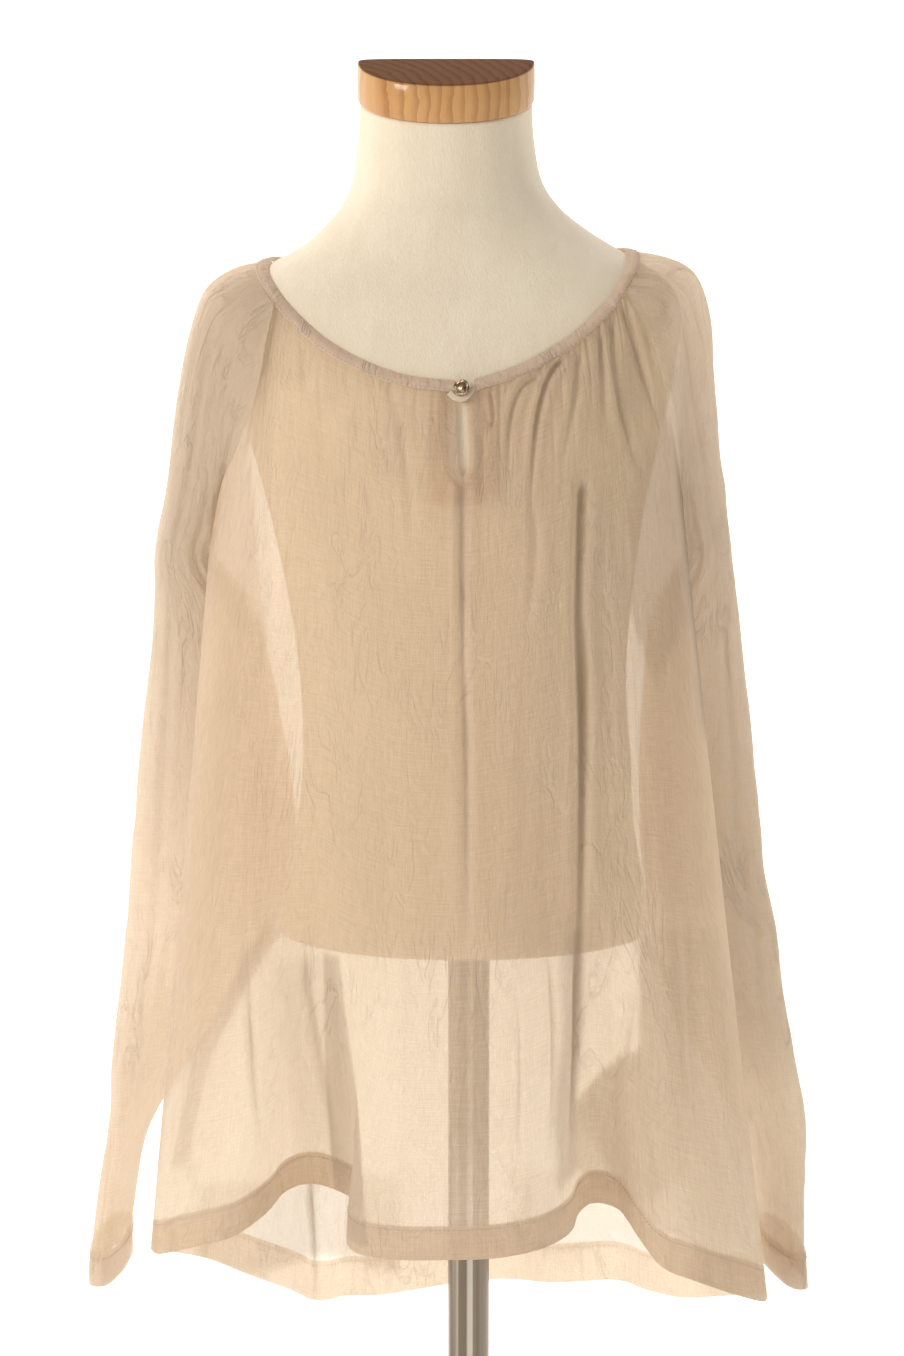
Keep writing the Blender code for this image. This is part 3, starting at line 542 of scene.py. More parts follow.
def ring_angles(count):
    """More angles at the front than at the flat back, with its corners kept round."""
    before, behind = count * FRONT_SHARE, count * BACK_SHARE
    front = [math.pi + math.pi * step / before for step in range(int(before))]
    back = [math.pi * step / behind for step in range(int(behind))]
    return front + back


def stack(rings):
    """Closed body: a circle of points, extruded ring by ring, with a lid at each end."""
    count = len(rings[0])
    body = bmesh.new()
    bmesh.ops.create_circle(body, cap_ends=False, radius=1.0, segments=count)
    body.verts.ensure_lookup_table()
    ring = body.verts[:]
    edges = body.edges[:]
    first = edges
    for vert, point in zip(ring, rings[0]):
        vert.co = point
    for points in rings[1:]:
        grown = bmesh.ops.extrude_edge_only(body, edges=edges)["geom"]
        fresh = {item for item in grown if isinstance(item, bmesh.types.BMVert)}
        ring = [next(edge.other_vert(vert) for edge in vert.link_edges
                     if edge.other_vert(vert) in fresh) for vert in ring]
        edges = [item for item in grown if isinstance(item, bmesh.types.BMEdge)
                 and item.verts[0] in fresh and item.verts[1] in fresh]
        for vert, point in zip(ring, points):
            vert.co = point
    bmesh.ops.edgeloop_fill(body, edges=first)
    bmesh.ops.edgeloop_fill(body, edges=edges)
    bmesh.ops.recalc_face_normals(body, faces=body.faces[:])
    return body


def add_piece(name, body, finish):
    """A mesh in centimetres becomes a piece in metres that rides with the blouse's one body."""
    bmesh.ops.scale(body, vec=(CM, CM, CM), verts=body.verts[:])
    mesh = bpy.data.meshes.new(name)
    body.to_mesh(mesh)
    body.free()
    mesh.materials.append(finish)
    mesh.polygons.foreach_set("use_smooth", [True] * len(mesh.polygons))
    piece = bpy.data.objects.new(name, mesh)
    bpy.context.scene.collection.objects.link(piece)
    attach(piece, "root")
    return piece


def skin_tree(piece):
    return BVHTree.FromPolygons([vert.co / CM for vert in piece.data.vertices],
                                [tuple(face.vertices) for face in piece.data.polygons])


def jersey_finish():
    """Cream knitted cover: very fine ribs, faint stretch marks down the neck, soft and matt."""
    made, finish, shader = new_finish("jersey_cover")
    rows = finish.noise(finish.place("Object", (900.0, 900.0, 300.0)), detail=1.0)
    pulls = finish.noise(finish.place("Object", (60.0, 60.0, 7.0)), detail=3.0, roughness=0.6)
    cloud = finish.noise(finish.place("Object", (9.0, 9.0, 9.0)), detail=3.0)
    tone = rows * 0.25 + pulls * 0.35 + cloud * 0.4
    colour = finish.tint(finish.ramp(tone, 0.3, 0.7), rgb(0.765, 0.650, 0.495),
                         rgb(0.845, 0.737, 0.585))
    finish.feed(shader.inputs["Base Color"], colour)
    shader.inputs["Roughness"].default_value = 0.95
    shader.inputs["Sheen Weight"].default_value = 0.25
    shader.inputs["Sheen Roughness"].default_value = 0.5
    shader.inputs["Specular IOR Level"].default_value = 0.2
    finish.feed(shader.inputs["Normal"],
                finish.bump(rows * 0.5 + pulls * 0.8, 0.0012, 0.55))
    return made


angles = ring_angles(FORM_AROUND)
form_rings = [[ring_point(ring, angle) for angle in angles]
              for ring in stretched(FORM_RINGS, FORM_FINER)]
form = add_piece("form_cover", stack(form_rings), jersey_finish())
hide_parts("form_body")
form_tree = skin_tree(form)
print("form", len(form.data.polygons), "faces")

# %% [markdown]
# ## Wooden cap
# The neck ends in a half-round slab of varnished softwood. Its end grain shows as curved bands on
# the top and its long grain as upright stripes on the side. One finish does both: rings round a
# point far off to one side, read in the slab's own coordinates, cross the top as arcs and run
# down the side as stripes.

# %% Wooden cap
CAP_MIDDLE = -1.55
CAP_HALF_WIDTH = 5.9
CAP_FRONT = 3.15
CAP_SEAT = 2.3
CAP_BACK = 3.05
CAP_THICK = 2.5
CAP_LEAN = 0.22
CAP_FLOOR = 148.48
CAP_ROUND = 0.16
SIDE_PALE, SIDE_DARK = rgb(0.62, 0.345, 0.140), rgb(0.34, 0.130, 0.036)
TOP_PALE, TOP_DARK = rgb(0.175, 0.066, 0.022), rgb(0.080, 0.028, 0.009)
UPRIGHT, LYING = 0.45, 0.9      # how far a face looks up on a side and on a top


def wood_finish():
    made, finish, shader = new_finish("varnished_softwood")
    rings = finish.node("ShaderNodeTexWave",
                        {"wave_type": "RINGS", "rings_direction": "Z", "wave_profile": "SAW"},
                        {"Vector": finish.node("ShaderNodeMapping", None,
                                               {"Vector": finish.node("ShaderNodeTexCoord",
                                                                      out="Object"),
                                                "Location": (0.135, 0.050, 0.0),
                                                "Scale": (1.0, 1.15, 1.0)}),
                         "Scale": 40.0, "Distortion": 3.0, "Detail": 3.0,
                         "Detail Scale": 1.2, "Detail Roughness": 0.55}, out="Fac")
    streak = finish.noise(finish.place("Object", (420.0, 420.0, 22.0)), detail=3.0)
    broad = finish.noise(finish.place("Object", (26.0, 26.0, 5.0)), detail=2.0)
    normal = finish.node("ShaderNodeNewGeometry", out="Normal")
    parts = finish.tree.nodes.new("ShaderNodeSeparateXYZ")
    finish.feed(parts.inputs[0], normal)
    up = finish.ramp(Value(finish, parts.outputs[2]), UPRIGHT, LYING)
    late = finish.ramp(rings, 0.35, 1.0)
    side = finish.tint(late * 0.45 + streak * 0.35 + (broad - 0.5) * 1.3, SIDE_PALE, SIDE_DARK)
    top = finish.tint(late * 0.55 + streak * 0.35, TOP_PALE, TOP_DARK)
    finish.feed(shader.inputs["Base Color"], finish.tint(up, side, top))
    finish.feed(shader.inputs["Roughness"], 0.30 + up * 0.25 + streak * 0.14)
    finish.feed(shader.inputs["Coat Weight"], 0.5 - up * 0.5)
    shader.inputs["Specular IOR Level"].default_value = 0.06
    shader.inputs["Coat Roughness"].default_value = 0.12
    finish.feed(shader.inputs["Normal"], finish.bump(rings * 0.4 + streak * 0.3, 0.0002, 0.5))
    return made


cap_rings = []
for rise, inset in ((0.0, CAP_ROUND), (CAP_ROUND * 0.3, CAP_ROUND * 0.3), (CAP_ROUND, 0.0),
                    (CAP_THICK * 0.5, -0.02), (CAP_THICK - CAP_ROUND, 0.0),
                    (CAP_THICK - CAP_ROUND * 0.3, CAP_ROUND * 0.3), (CAP_THICK, CAP_ROUND),
                    (CAP_THICK + 0.01, CAP_ROUND * 3.0)):
    ring = (CAP_FLOOR + rise, CAP_MIDDLE, CAP_HALF_WIDTH - inset, CAP_FRONT - inset, CAP_SEAT,
            CAP_BACK - inset, CAP_LEAN)
    cap_rings.append([ring_point(ring, angle) for angle in angles])
cap = add_piece("wooden_cap", stack(cap_rings), wood_finish())
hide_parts("neck_cap")
print("cap", len(cap.data.polygons), "faces")

# %% [markdown]
# ## Steel stand
# The pole, its socket and the round base are turned steel, brushed round the axis. Their solids
# are already true, so each keeps its solid and only gets a finish, with the brushing as noise
# that is stretched round the pole and squeezed along it.

# %% Steel stand
STEEL_DARK, STEEL_PALE = rgb(0.20, 0.155, 0.115), rgb(0.60, 0.53, 0.45)
FLAT_SHINE = 0.55
RIM_ANGLE = math.radians(35.0)


def steel_finish():
    """Brushed steel, with partly painted reflection streaks and painted shade away from the lamp."""
    made, finish, shader = new_finish("brushed_steel")
    brush = finish.noise(finish.place("Object", (25.0, 25.0, 900.0)), detail=2.0)
    # Upright streaks round the pole: partly drawn marks in the steel, partly painted reflection
    # bands.
    streaks_and_painted_reflection = finish.ramp(finish.noise(finish.place("Object", (120.0, 120.0, 0.6)), detail=2.0),
                        0.36, 0.62)
    parts = finish.tree.nodes.new("ShaderNodeSeparateXYZ")
    finish.feed(parts.inputs[0], finish.node("ShaderNodeNewGeometry", out="Normal"))
    flat = finish.ramp(Value(finish, parts.outputs[2]), UPRIGHT, LYING)
    # Painted shade: faces turned to the right, away from the lamp, get a darker steel colour.
    shade_away_from_lamp = 1.0 - 0.80 * finish.ramp(Value(finish, parts.outputs[0]), 0.10, 0.30)
    shine = streaks_and_painted_reflection * shade_away_from_lamp * (1.0 - flat) + flat * FLAT_SHINE
    finish.feed(shader.inputs["Base Color"], finish.tint(shine, STEEL_DARK, STEEL_PALE))
    shader.inputs["Metallic"].default_value = 1.0
    finish.feed(shader.inputs["Roughness"], 0.26 + brush * 0.16)
    finish.feed(shader.inputs["Normal"], finish.bump(brush, 0.00005, 0.4))
    return made


steel = steel_finish()
for node_name in ("pole", "collar", "base"):
    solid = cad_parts[node_name]
    solid.data.materials.clear()
    solid.data.materials.append(steel)
    solid.data.polygons.foreach_set("use_smooth", [True] * len(solid.data.polygons))
    edge_split = solid.modifiers.new("crisp_rims", "EDGE_SPLIT")
    edge_split.split_angle = RIM_ANGLE
print("stand finished")

# %% [markdown]
# ## How the cloth lies on the form
# Cloth never sinks into what carries it. `push_off` says how far a point has to move to keep its
# distance from the form, and the helpers below lay lines on the form's skin in the same way as
# the solids do.

# %% Laying lines on the form
NECK_STEPS = 4                  # short steps down the skin from the neck line
NECK_FLARE = 0.3                # how far a step goes outwards for each one down
SLIT_GAP = 0.05                 # share of a row that the end strands keep from the slit


def push_off(point, clear):
    near, normal, _, _ = form_tree.find_nearest(point)
    away = point - near
    if away.dot(normal) < 0.0:
        return normal * (clear - away.dot(normal))
    if away.length < clear:
        return normal * (clear - away.length)
    return Vector((0, 0, 0))


def rest_on(point, clear):
    return point + push_off(point, clear)


def lay_on(point, clear):
    near, normal, _, _ = form_tree.find_nearest(point)
    return near + normal * clear


def neck_point(place, down, clear):
    """Point on the neck line at a row of its table, a given way down the form's skin."""
    point = lay_on(along(NECK_EDGE, place), clear)
    for _ in range(NECK_STEPS):
        _, normal, _, _ = form_tree.find_nearest(point)
        outward = Vector((point.x - CAP_MIDDLE, point.y, 0.0)).normalized()
        way = Vector((0, 0, -1.0)) + outward * NECK_FLARE
        way -= normal * way.dot(normal)
        point = lay_on(point + way.normalized() * (down / NECK_STEPS), clear)
    return point


def keep_clear(grid, clear):
    """Every point of a fine grid keeps its distance from the form."""
    for line in grid:
        for spot in line:
            push = push_off(Vector(spot), clear)
            if push.length_squared > 0.0:
                spot += np.array(push)


def clear_cells(grid, clear):
    """Push the corners of any coarse cell whose middle or sides come too close to the form."""
    for _ in range(CLEAR_ROUNDS):
        for row in range(len(grid) - 1):
            for column in range(len(grid[0]) - 1):
                spots = [(row, column), (row, column + 1), (row + 1, column),
                         (row + 1, column + 1)]
                corners = [grid[spot[0]][spot[1]] for spot in spots]
                middles = [(corners[first] + corners[second]) * 0.5
                           for first, second in ((0, 1), (2, 3), (0, 2), (1, 3), (0, 3), (1, 2))]
                for middle in middles:
                    push = push_off(middle, clear) * 0.5
                    for spot in spots:
                        grid[spot[0]][spot[1]] = grid[spot[0]][spot[1]] + push


def seam_line(neck_place, rows):
    start = neck_point(neck_place, BAND_WIDTH, FORM_CLEAR)
    return [start] + [rest_on(Vector(row), FORM_CLEAR) for row in rows]


def front_top():
    """Top ends of the front strands: up the left seam, along the binding, down the right seam."""
    left = seam_line(SEAM_FRONT_LEFT, RAGLAN_FRONT_LEFT)
    right = seam_line(SEAM_FRONT_RIGHT, RAGLAN_FRONT_RIGHT)
    points = [along(left, place) for place in reversed(even_places(left, RAGLAN_COLUMNS))]
    for step in range(1, HALF_NECK_COLUMNS + 1):
        place = mix(SEAM_FRONT_LEFT, SLIT_GAP, step / HALF_NECK_COLUMNS)
        points.append(neck_point(place, BAND_WIDTH, FORM_CLEAR))
    for step in range(HALF_NECK_COLUMNS):
        place = mix(EDGE_END - SLIT_GAP, SEAM_FRONT_RIGHT, step / HALF_NECK_COLUMNS)
        points.append(neck_point(place, BAND_WIDTH, FORM_CLEAR))
    points.extend(along(right, place) for place in even_places(right, RAGLAN_COLUMNS))
    return points


def back_top():
    left = seam_line(SEAM_BACK_LEFT, RAGLAN_BACK_LEFT)
    right = seam_line(SEAM_BACK_RIGHT, RAGLAN_BACK_RIGHT)
    points = [along(left, place) for place in reversed(even_places(left, BACK_RAGLAN_COLUMNS))]
    for step in range(1, BACK_NECK_COLUMNS):
        place = mix(SEAM_BACK_LEFT, SEAM_BACK_RIGHT, step / BACK_NECK_COLUMNS)
        points.append(neck_point(place, BAND_WIDTH, FORM_CLEAR))
    points.extend(along(right, place) for place in even_places(right, BACK_RAGLAN_COLUMNS))
    return points


print("front top line", len(front_top()), "points")

# %% [markdown]
# ## Body panels
# The front and the back are wide trapezes, gathered at the top and free at the hem. A strand runs
# from each point of the top line to its place on the hem. Near the top it hugs the form, lower
# down it swings out into the flutes of the hem. A cloth simulation could find a drape of its own,
# but not these particular flutes, so the strands are worked out from the hem's table.

# %% Body panels
SPREAD_POWER = 1.04             # the sides flare a little more near the hem
FRONT_HANG, BACK_HANG = 9.6, 3.6        # how far the cloth hangs in front of and behind the middle
GATHERS_END = 0.05              # share of the length where the gathers stand off fully


def evened(hem, step):
    """How far across a hem point would lie if the flutes did not double over each other."""
    reach = min(DOUBLE_REACH, step, len(hem) - 1 - step)
    picks = hem[step - reach:step + reach + 1]
    return sum(pick.x for pick in picks) / len(picks)


def ease(grid, columns, rows, rounds):
    """Even out the cloth beside the raglan seams."""
    last = len(grid[0]) - 1
    near = sorted(set(range(1, columns)) | set(range(last - columns + 1, last)))
    for _ in range(rounds):
        fresh = [line[:] for line in grid]
        for row in range(1, rows):
            for column in near:
                around = (grid[row - 1][column] + grid[row + 1][column]
                          + grid[row][column - 1] + grid[row][column + 1]) * 0.25
                fresh[row][column] = grid[row][column].lerp(around, 0.6)
        for row in range(1, rows):
            grid[row] = fresh[row]


def body_panel(top, hem_rows, rows, front):
    """Coarse grid of one body panel, without its small folds."""
    last = len(top) - 1
    hem = [along(hem_rows, place) for place in even_places(hem_rows, last)]
    plain = [evened(hem, step) for step in range(last + 1)]
    side = -1.0 if front else 1.0
    grid = []
    for down in rows:
        line = []
        spread = down ** SPREAD_POWER
        left = mix(top[0].x, hem[0].x, spread)
        right = mix(top[-1].x, hem[-1].x, spread)
        for step in range(last + 1):
            start, end = top[step], hem[step]
            doubled = (end.x - plain[step]) * smooth((down - 0.66) / 0.34)
            x = mix(start.x, plain[step], spread) + doubled
            z = mix(start.z, end.z, down)
            share = (x - left) / (right - left) * 2.0 - 1.0
            belly = max(0.0, 1.0 - abs(share) ** 3.0) ** 0.6
            hang = (FRONT_HANG if front else BACK_HANG) * belly
            y = mix(start.y, side * hang, smooth(down / 0.30))
            outward = (end.y - y) * side > 0.0
            grow = (smooth((down - 0.22) / 0.78) ** 1.15 if outward
                    else smooth((down - 0.56) / 0.44))
            y = mix(y, end.y, grow)
            gathered = smooth(down / GATHERS_END) * (1.0 - smooth((down - 0.15) / 0.30))
            y += side * FULLNESS * gathered
            clear = mix(FORM_CLEAR, HANG_CLEAR, smooth((down - 0.15) / 0.2))
            line.append(rest_on(Vector((x, y, z)), clear))
        grid.append(line)
    ease(grid, EASE_COLUMNS, EASE_ROWS, EASE_ROUNDS)
    clear_cells(grid, FORM_CLEAR - 0.05)
    return grid


front_coarse = body_panel(front_top(), FRONT_HEM, FRONT_ROWS, front=True)
back_coarse = body_panel(back_top(), BACK_HEM, BACK_ROWS, front=False)
print("coarse front", len(front_coarse), "by", len(front_coarse[0]))

# %% [markdown]
# ## Folds and creases
# Gathered voile has soft troughs that start at the binding and fade, and a few sharp creases where
# it folds over itself. The large ones sit where the picture has them, each on a curve through three
# points of the front as it is seen. The many small ones are spaced by a seeded draw, uneven in
# length, depth and spacing. Where cloth lies double, in a crease, a pleat or a seam allowance, less
# light comes through it, so each sheet also keeps how much extra cloth lies at each of its points.
# The same number carries painted shade: it darkens the cloth's colour, and painted shade is added to
# it in the troughs of the gathers, in some patches and in the shadow gap beside the right sleeve.

# %% Folds and creases
# top x, top z, middle x, middle z, end x, end z, width, depth, doubled cloth and painted shade
FRONT_CREASES = [
    (-10.9, 133.6, -10.8, 131.4, -10.8, 129.9, 0.35, 0.10, 0.1),
    (-9.7, 129.7, -9.6, 127.5, -9.8, 125.0, 0.60, 0.13, 0.0),
    (-7.2, 129.3, -7.3, 128.2, -7.3, 126.5, 0.40, 0.09, 0.0),
    (-5.4, 131.4, -4.2, 126.5, -3.5, 116.9, 0.28, 0.14, 0.2),
    (-8.1, 124.8, -8.1, 119.9, -8.0, 112.7, 0.60, 0.12, 0.0),
    (-0.4, 124.9, -0.5, 118.7, -0.3, 102.5, 0.28, 0.46, 2.2),
    (-0.3, 114.5, -0.2, 103.0, -0.1, 89.0, 0.36, 0.34, 1.5),
    (1.3, 130.8, 1.6, 129.1, 0.8, 128.2, 0.13, 0.14, 0.9),
    (0.8, 128.3, 0.8, 126.0, 1.0, 123.5, 0.30, 0.12, 0.2),
    (4.6, 131.6, 2.8, 129.7, 2.7, 124.0, 0.20, 0.42, 1.7),
    (6.1, 132.7, 4.45, 129.3, 4.0, 121.0, 0.20, 0.60, 3.2),
    (4.2, 124.0, 4.3, 119.6, 3.7, 114.0, 0.32, 0.22, 0.4),
    (7.1, 133.1, 6.84, 130.2, 5.8, 124.8, 0.24, 0.42, 1.3),
    (8.6, 134.3, 8.75, 131.2, 8.9, 126.4, 0.26, 0.40, 1.1),
    (7.5, 124.8, 7.2, 116.0, 7.5, 102.0, 0.40, 0.60, 2.8),
    (7.5, 117.0, 7.5, 103.0, 7.1, 77.5, 0.40, 0.55, 3.0),
    (8.6, 124.0, 8.6, 112.0, 8.4, 92.0, 0.80, 0.22, 0.25),
    (7.0, 95.5, 7.2, 85.8, 6.7, 76.0, 0.26, 0.30, 1.4),
    (9.4, 135.0, 9.9, 129.8, 11.9, 123.0, 0.26, 0.44, 1.4),
    (10.1, 135.9, 11.5, 131.2, 12.9, 126.9, 0.24, 0.28, 1.6),
    (10.9, 136.7, 11.6, 134.3, 12.6, 130.8, 0.22, 0.24, 1.2),
    (-15.1, 94.0, -14.7, 88.4, -14.0, 76.4, 0.28, 0.24, 0.8),
    (-11.3, 95.0, -10.2, 84.8, -8.9, 75.5, 0.34, 0.26, 0.8),
    (3.1, 91.5, 3.35, 83.9, 3.05, 76.4, 0.16, 0.14, 0.6),
    (4.9, 94.5, 5.65, 86.3, 5.1, 76.4, 0.20, 0.20, 0.8),
    (11.2, 90.5, 10.4, 85.2, 8.9, 80.0, 0.26, 0.22, 0.7),
    (14.0, 97.0, 14.8, 88.0, 15.2, 78.0, 0.34, 0.20, 0.5),
    (-14.7, 89.4, -14.6, 84.6, -13.8, 77.1, 0.18, 0.14, 0.4),
    (3.7, 114.2, 3.8, 103.8, 3.7, 92.4, 0.60, 0.14, 0.1),
    (-9.2, 93.5, -8.6, 84.0, -7.6, 74.0, 0.30, 0.20, 0.3),
    (11.6, 108.0, 12.4, 98.0, 12.2, 84.0, 0.70, 0.16, 0.1),
    (-12.8, 112.0, -13.6, 102.0, -13.4, 92.0, 0.80, 0.14, 0.0),
    (-16.2, 96.0, -17.2, 88.0, -17.4, 80.0, 0.50, 0.12, 0.1),
]
# extra layers and painted shade, softness of the edge, corners: x, z
FRONT_PATCHES = [
    (1.5, 0.16, [(-9.8, 92.9), (-9.8, 86.0), (-9.7, 81.2), (-9.2, 73.0), (-6.75, 73.0),
                 (-7.4, 80.4), (-8.1, 86.5), (-8.7, 92.5)]),
    (1.1, 0.40, [(6.0, 94.6), (6.3, 88.0), (5.7, 82.0), (6.0, 77.2), (7.3, 77.2), (7.1, 82.0),
                 (7.7, 88.0), (7.5, 94.6)]),
    (0.5, 0.9, [(-13.4, 92.4), (-12.2, 84.0), (-11.7, 77.4), (-8.6, 76.0), (-9.3, 86.0),
                (-9.6, 92.6)]),
    # Painted shade on the cloth right of the main fold.
    (0.30, 1.2, [(7.6, 122.0), (11.0, 121.0), (11.4, 94.0), (8.0, 94.0)]),
]
BACK_PATCHES = [
    (1.3, 0.16, [(-13.0, 91.0), (-14.5, 89.0), (-18.0, 82.5), (-19.9, 74.3), (-20.9, 74.5),
                 (-19.0, 83.0), (-15.5, 89.6), (-13.9, 91.5)]),
    (1.8, 0.12, [(12.1, 91.0), (12.2, 81.9), (10.7, 81.3), (9.4, 80.0), (8.3, 78.6), (7.4, 78.0),
                 (7.5, 73.0), (9.0, 72.2), (12.0, 69.4), (15.7, 67.0), (19.5, 65.6), (21.5, 66.0),
                 (21.0, 76.0), (17.3, 92.0)]),
    (1.6, 0.50, [(12.1, 90.0), (12.3, 81.7), (10.7, 81.1), (9.4, 79.8), (8.3, 78.4), (7.6, 77.0),
                 (12.0, 70.0), (15.4, 72.0), (15.4, 88.0)]),
    (0.45, 0.4, [(3.0, 73.0), (7.4, 73.0), (8.9, 72.0), (11.9, 69.2), (15.6, 66.9), (3.0, 66.9)]),
    (1.3, 0.25, [(-18.8, 138.0), (-14.0, 138.0), (-14.1, 127.2), (-14.9, 125.4), (-14.6, 120.4),
                (-14.2, 114.7), (-13.8, 112.1), (-14.2, 110.0), (-16.5, 113.9), (-18.7, 117.5)]),
    (1.7, 0.25, [(10.5, 138.8), (15.9, 138.0), (16.9, 116.8), (15.2, 114.7), (12.8, 108.4),
                (11.8, 111.9), (11.0, 113.9), (10.4, 120.3), (11.6, 127.2)]),
    (0.5, 0.6, [(-19.6, 107.6), (-14.2, 111.1), (-12.4, 100.5), (-11.9, 98.4), (-13.2, 91.5),
                (-18.5, 82.3), (-22.4, 78.5), (-22.2, 93.3)]),
    # Painted shade on the left of the back, just above its hem.
    (0.9, 0.5, [(-19.1, 72.6), (-4.9, 72.6), (-4.9, 65.7), (-19.2, 65.7)]),
]
BACK_CREASES = [
    (-11.5, 75.0, -11.2, 67.5, -10.9, 60.0, 0.24, 0.24, 1.6),
    (-12.8, 92.5, -16.1, 87.6, -19.4, 77.0, 0.60, 0.28, 0.9),
    (4.6, 73.5, 4.2, 69.0, 4.4, 64.0, 0.30, 0.20, 0.6),
    (12.4, 76.0, 12.9, 70.0, 12.2, 63.0, 0.34, 0.22, 0.5),
]
CREASE_STEPS = 24
ALLOWANCE_LAYERS, ALLOWANCE_WIDTH, ALLOWANCE_SOFT, ALLOWANCE_END = 0.4, 0.012, 0.004, 0.9
HELD_SHARE, HEM_START = 0.04, 0.93
SIDE_HOLD = 0.04                    # share of the width beside a seam that cannot crumple
GATHERS_FLOOR = 124.5               # creases that start lower begin softly
SHORT_RISE, LONG_RISE = 0.08, 0.34
GATHER_SHADE = 1.1                   # painted shade, counted in layers, for each centimetre that a gather sinks
FAR_OFF = 1e9                       # farther than anything, to begin a search with
# place across, drift to the hem, start, end, width, depth
BACK_FOLDS = [
    (0.205, 0.00, 0.00, 0.24, 0.012, 0.16),
    (0.248, 0.01, 0.00, 0.16, 0.009, 0.12),
    (0.330, 0.00, 0.00, 0.44, 0.013, 0.22),
    (0.372, 0.00, 0.00, 0.14, 0.009, 0.14),
    (0.455, 0.00, 0.00, 0.36, 0.012, 0.18),
    (0.492, 0.00, 0.00, 0.18, 0.009, 0.14),
    (0.577, 0.00, 0.00, 0.52, 0.013, 0.24),
    (0.612, 0.00, 0.00, 0.15, 0.010, 0.12),
    (0.701, -0.01, 0.00, 0.30, 0.012, 0.20),
    (0.733, 0.00, 0.00, 0.20, 0.009, 0.12),
    (0.812, 0.00, 0.00, 0.34, 0.013, 0.16),
    (0.400, 0.02, 0.40, 1.00, 0.012, 0.16),
    (0.660, -0.02, 0.46, 1.00, 0.012, 0.14),
]
SLEEVE_FOLDS = [
    (0.18, 0.02, 0.24, 0.62, 0.022, 0.20),
    (0.31, -0.02, 0.10, 0.46, 0.020, 0.20),
    (0.36, 0.01, 0.40, 0.90, 0.016, 0.16),
    (0.40, 0.00, 0.02, 0.20, 0.014, 0.14),
    (0.47, 0.00, 0.00, 0.14, 0.012, 0.12),
    (0.53, 0.00, 0.00, 0.18, 0.012, 0.12),
    (0.62, 0.00, 0.04, 0.30, 0.018, 0.16),
    (0.70, 0.01, 0.45, 0.95, 0.018, 0.16),
    (0.80, 0.02, 0.28, 0.70, 0.026, 0.20),
    (0.57, 0.03, 0.50, 0.84, 0.018, 0.18),
    (0.24, 0.02, 0.55, 0.92, 0.020, 0.18),
    (0.86, 0.00, 0.90, 1.30, 0.020, 0.34),
    (0.74, 0.02, 0.80, 1.20, 0.014, 0.20),
]
# share down the sleeve, extra layers that darken the sleeve and let less light through there
SLEEVE_DIMMED = {
    LEFT: [(0.0, 1.7), (0.12, 1.7), (0.25, 1.5), (0.42, 1.4), (0.55, 0.8), (0.68, 0.3), (1.0, 0.4)],
    RIGHT: [(0.0, 0.3), (0.2, 0.9), (0.40, 1.1), (0.62, 1.3), (0.76, 0.9), (0.84, 0.5), (1.0, 0.7)],
}
SLEEVE_EDGE_OPEN = {LEFT: 0.95, RIGHT: 0.3}     # how much less the sleeve is darkened at its outer edge


def crease_fields(grid, creases):
    """Depth of a sheet's creases at each point, and its doubled cloth and painted shade there."""
    flat = grid[:, :, [0, 2]]
    sunk, double = np.zeros(grid.shape[:2]), np.zeros(grid.shape[:2])
    for row in creases:
        start, middle, end = (np.array(row[place:place + 2]) for place in (0, 2, 4))
        width, depth, doubled = row[6:]
        bend = 2.0 * middle - 0.5 * (start + end)
        share = np.linspace(0.0, 1.0, CREASE_STEPS + 1)[:, None]
        curve = start * (1.0 - share) ** 2 + bend * 2.0 * share * (1.0 - share) + end * share ** 2
        near = np.all((flat > curve.min(axis=0) - 5.0 * width)
                      & (flat < curve.max(axis=0) + 5.0 * width), axis=2)
        spots = flat[near]
        best = np.full(len(spots), FAR_OFF)
        side, place = np.zeros(len(spots)), np.zeros(len(spots))
        for step in range(CREASE_STEPS):
            run = curve[step + 1] - curve[step]
            ahead = spots - curve[step]
            part = np.clip(ahead @ run / (run @ run), 0.0, 1.0)
            gap = ahead - part[:, None] * run
            distance = np.hypot(gap[:, 0], gap[:, 1])
            closer = distance < best
            best[closer] = distance[closer]
            side[closer] = np.sign(run[0] * gap[:, 1] - run[1] * gap[:, 0])[closer]
            place[closer] = (step + part[closer]) / CREASE_STEPS
        rise = SHORT_RISE if start[1] > GATHERS_FLOOR else LONG_RISE
        fade = smooths((place + 0.02) / rise) * (1.0 - smooths((place - 0.45) / 0.55))
        reach = side * best / width
        sunk[near] += depth * fade * (np.exp(-reach ** 2)
                                      - 0.42 * np.exp(-((reach + 2.0) / 1.1) ** 2)
                                      - 0.30 * np.exp(-((reach - 2.3) / 1.4) ** 2))
        # Doubled cloth along the crease, which also paints shade into the cloth's colour.
        double[near] += doubled * fade * np.exp(-(reach / 0.75) ** 2)
    return sunk, double


def patch_layers_and_shade(grid, patches):
    """Extra layers of cloth and painted shade inside patches of a sheet, as seen from the front."""
    across, up = grid[:, :, 0], grid[:, :, 2]
    total = np.zeros(grid.shape[:2])
    for layers, soft, corners in patches:
        inside = np.zeros(grid.shape[:2], dtype=bool)
        nearest = np.full(grid.shape[:2], FAR_OFF)
        for (start_x, start_z), (end_x, end_z) in zip(corners, corners[1:] + corners[:1]):
            run_x, run_z = end_x - start_x, end_z - start_z
            part = np.clip(((across - start_x) * run_x + (up - start_z) * run_z)
                           / (run_x ** 2 + run_z ** 2), 0.0, 1.0)
            nearest = np.minimum(nearest, np.hypot(across - start_x - part * run_x,
                                                   up - start_z - part * run_z))
            between = (start_z > up) != (end_z > up)
            inside ^= between & (across < start_x + run_x * (up - start_z) / (run_z + 1e-9))
        signed = np.where(inside, nearest, -nearest)
        total += layers * smooths(signed / soft * 0.5 + 0.5)
    return total


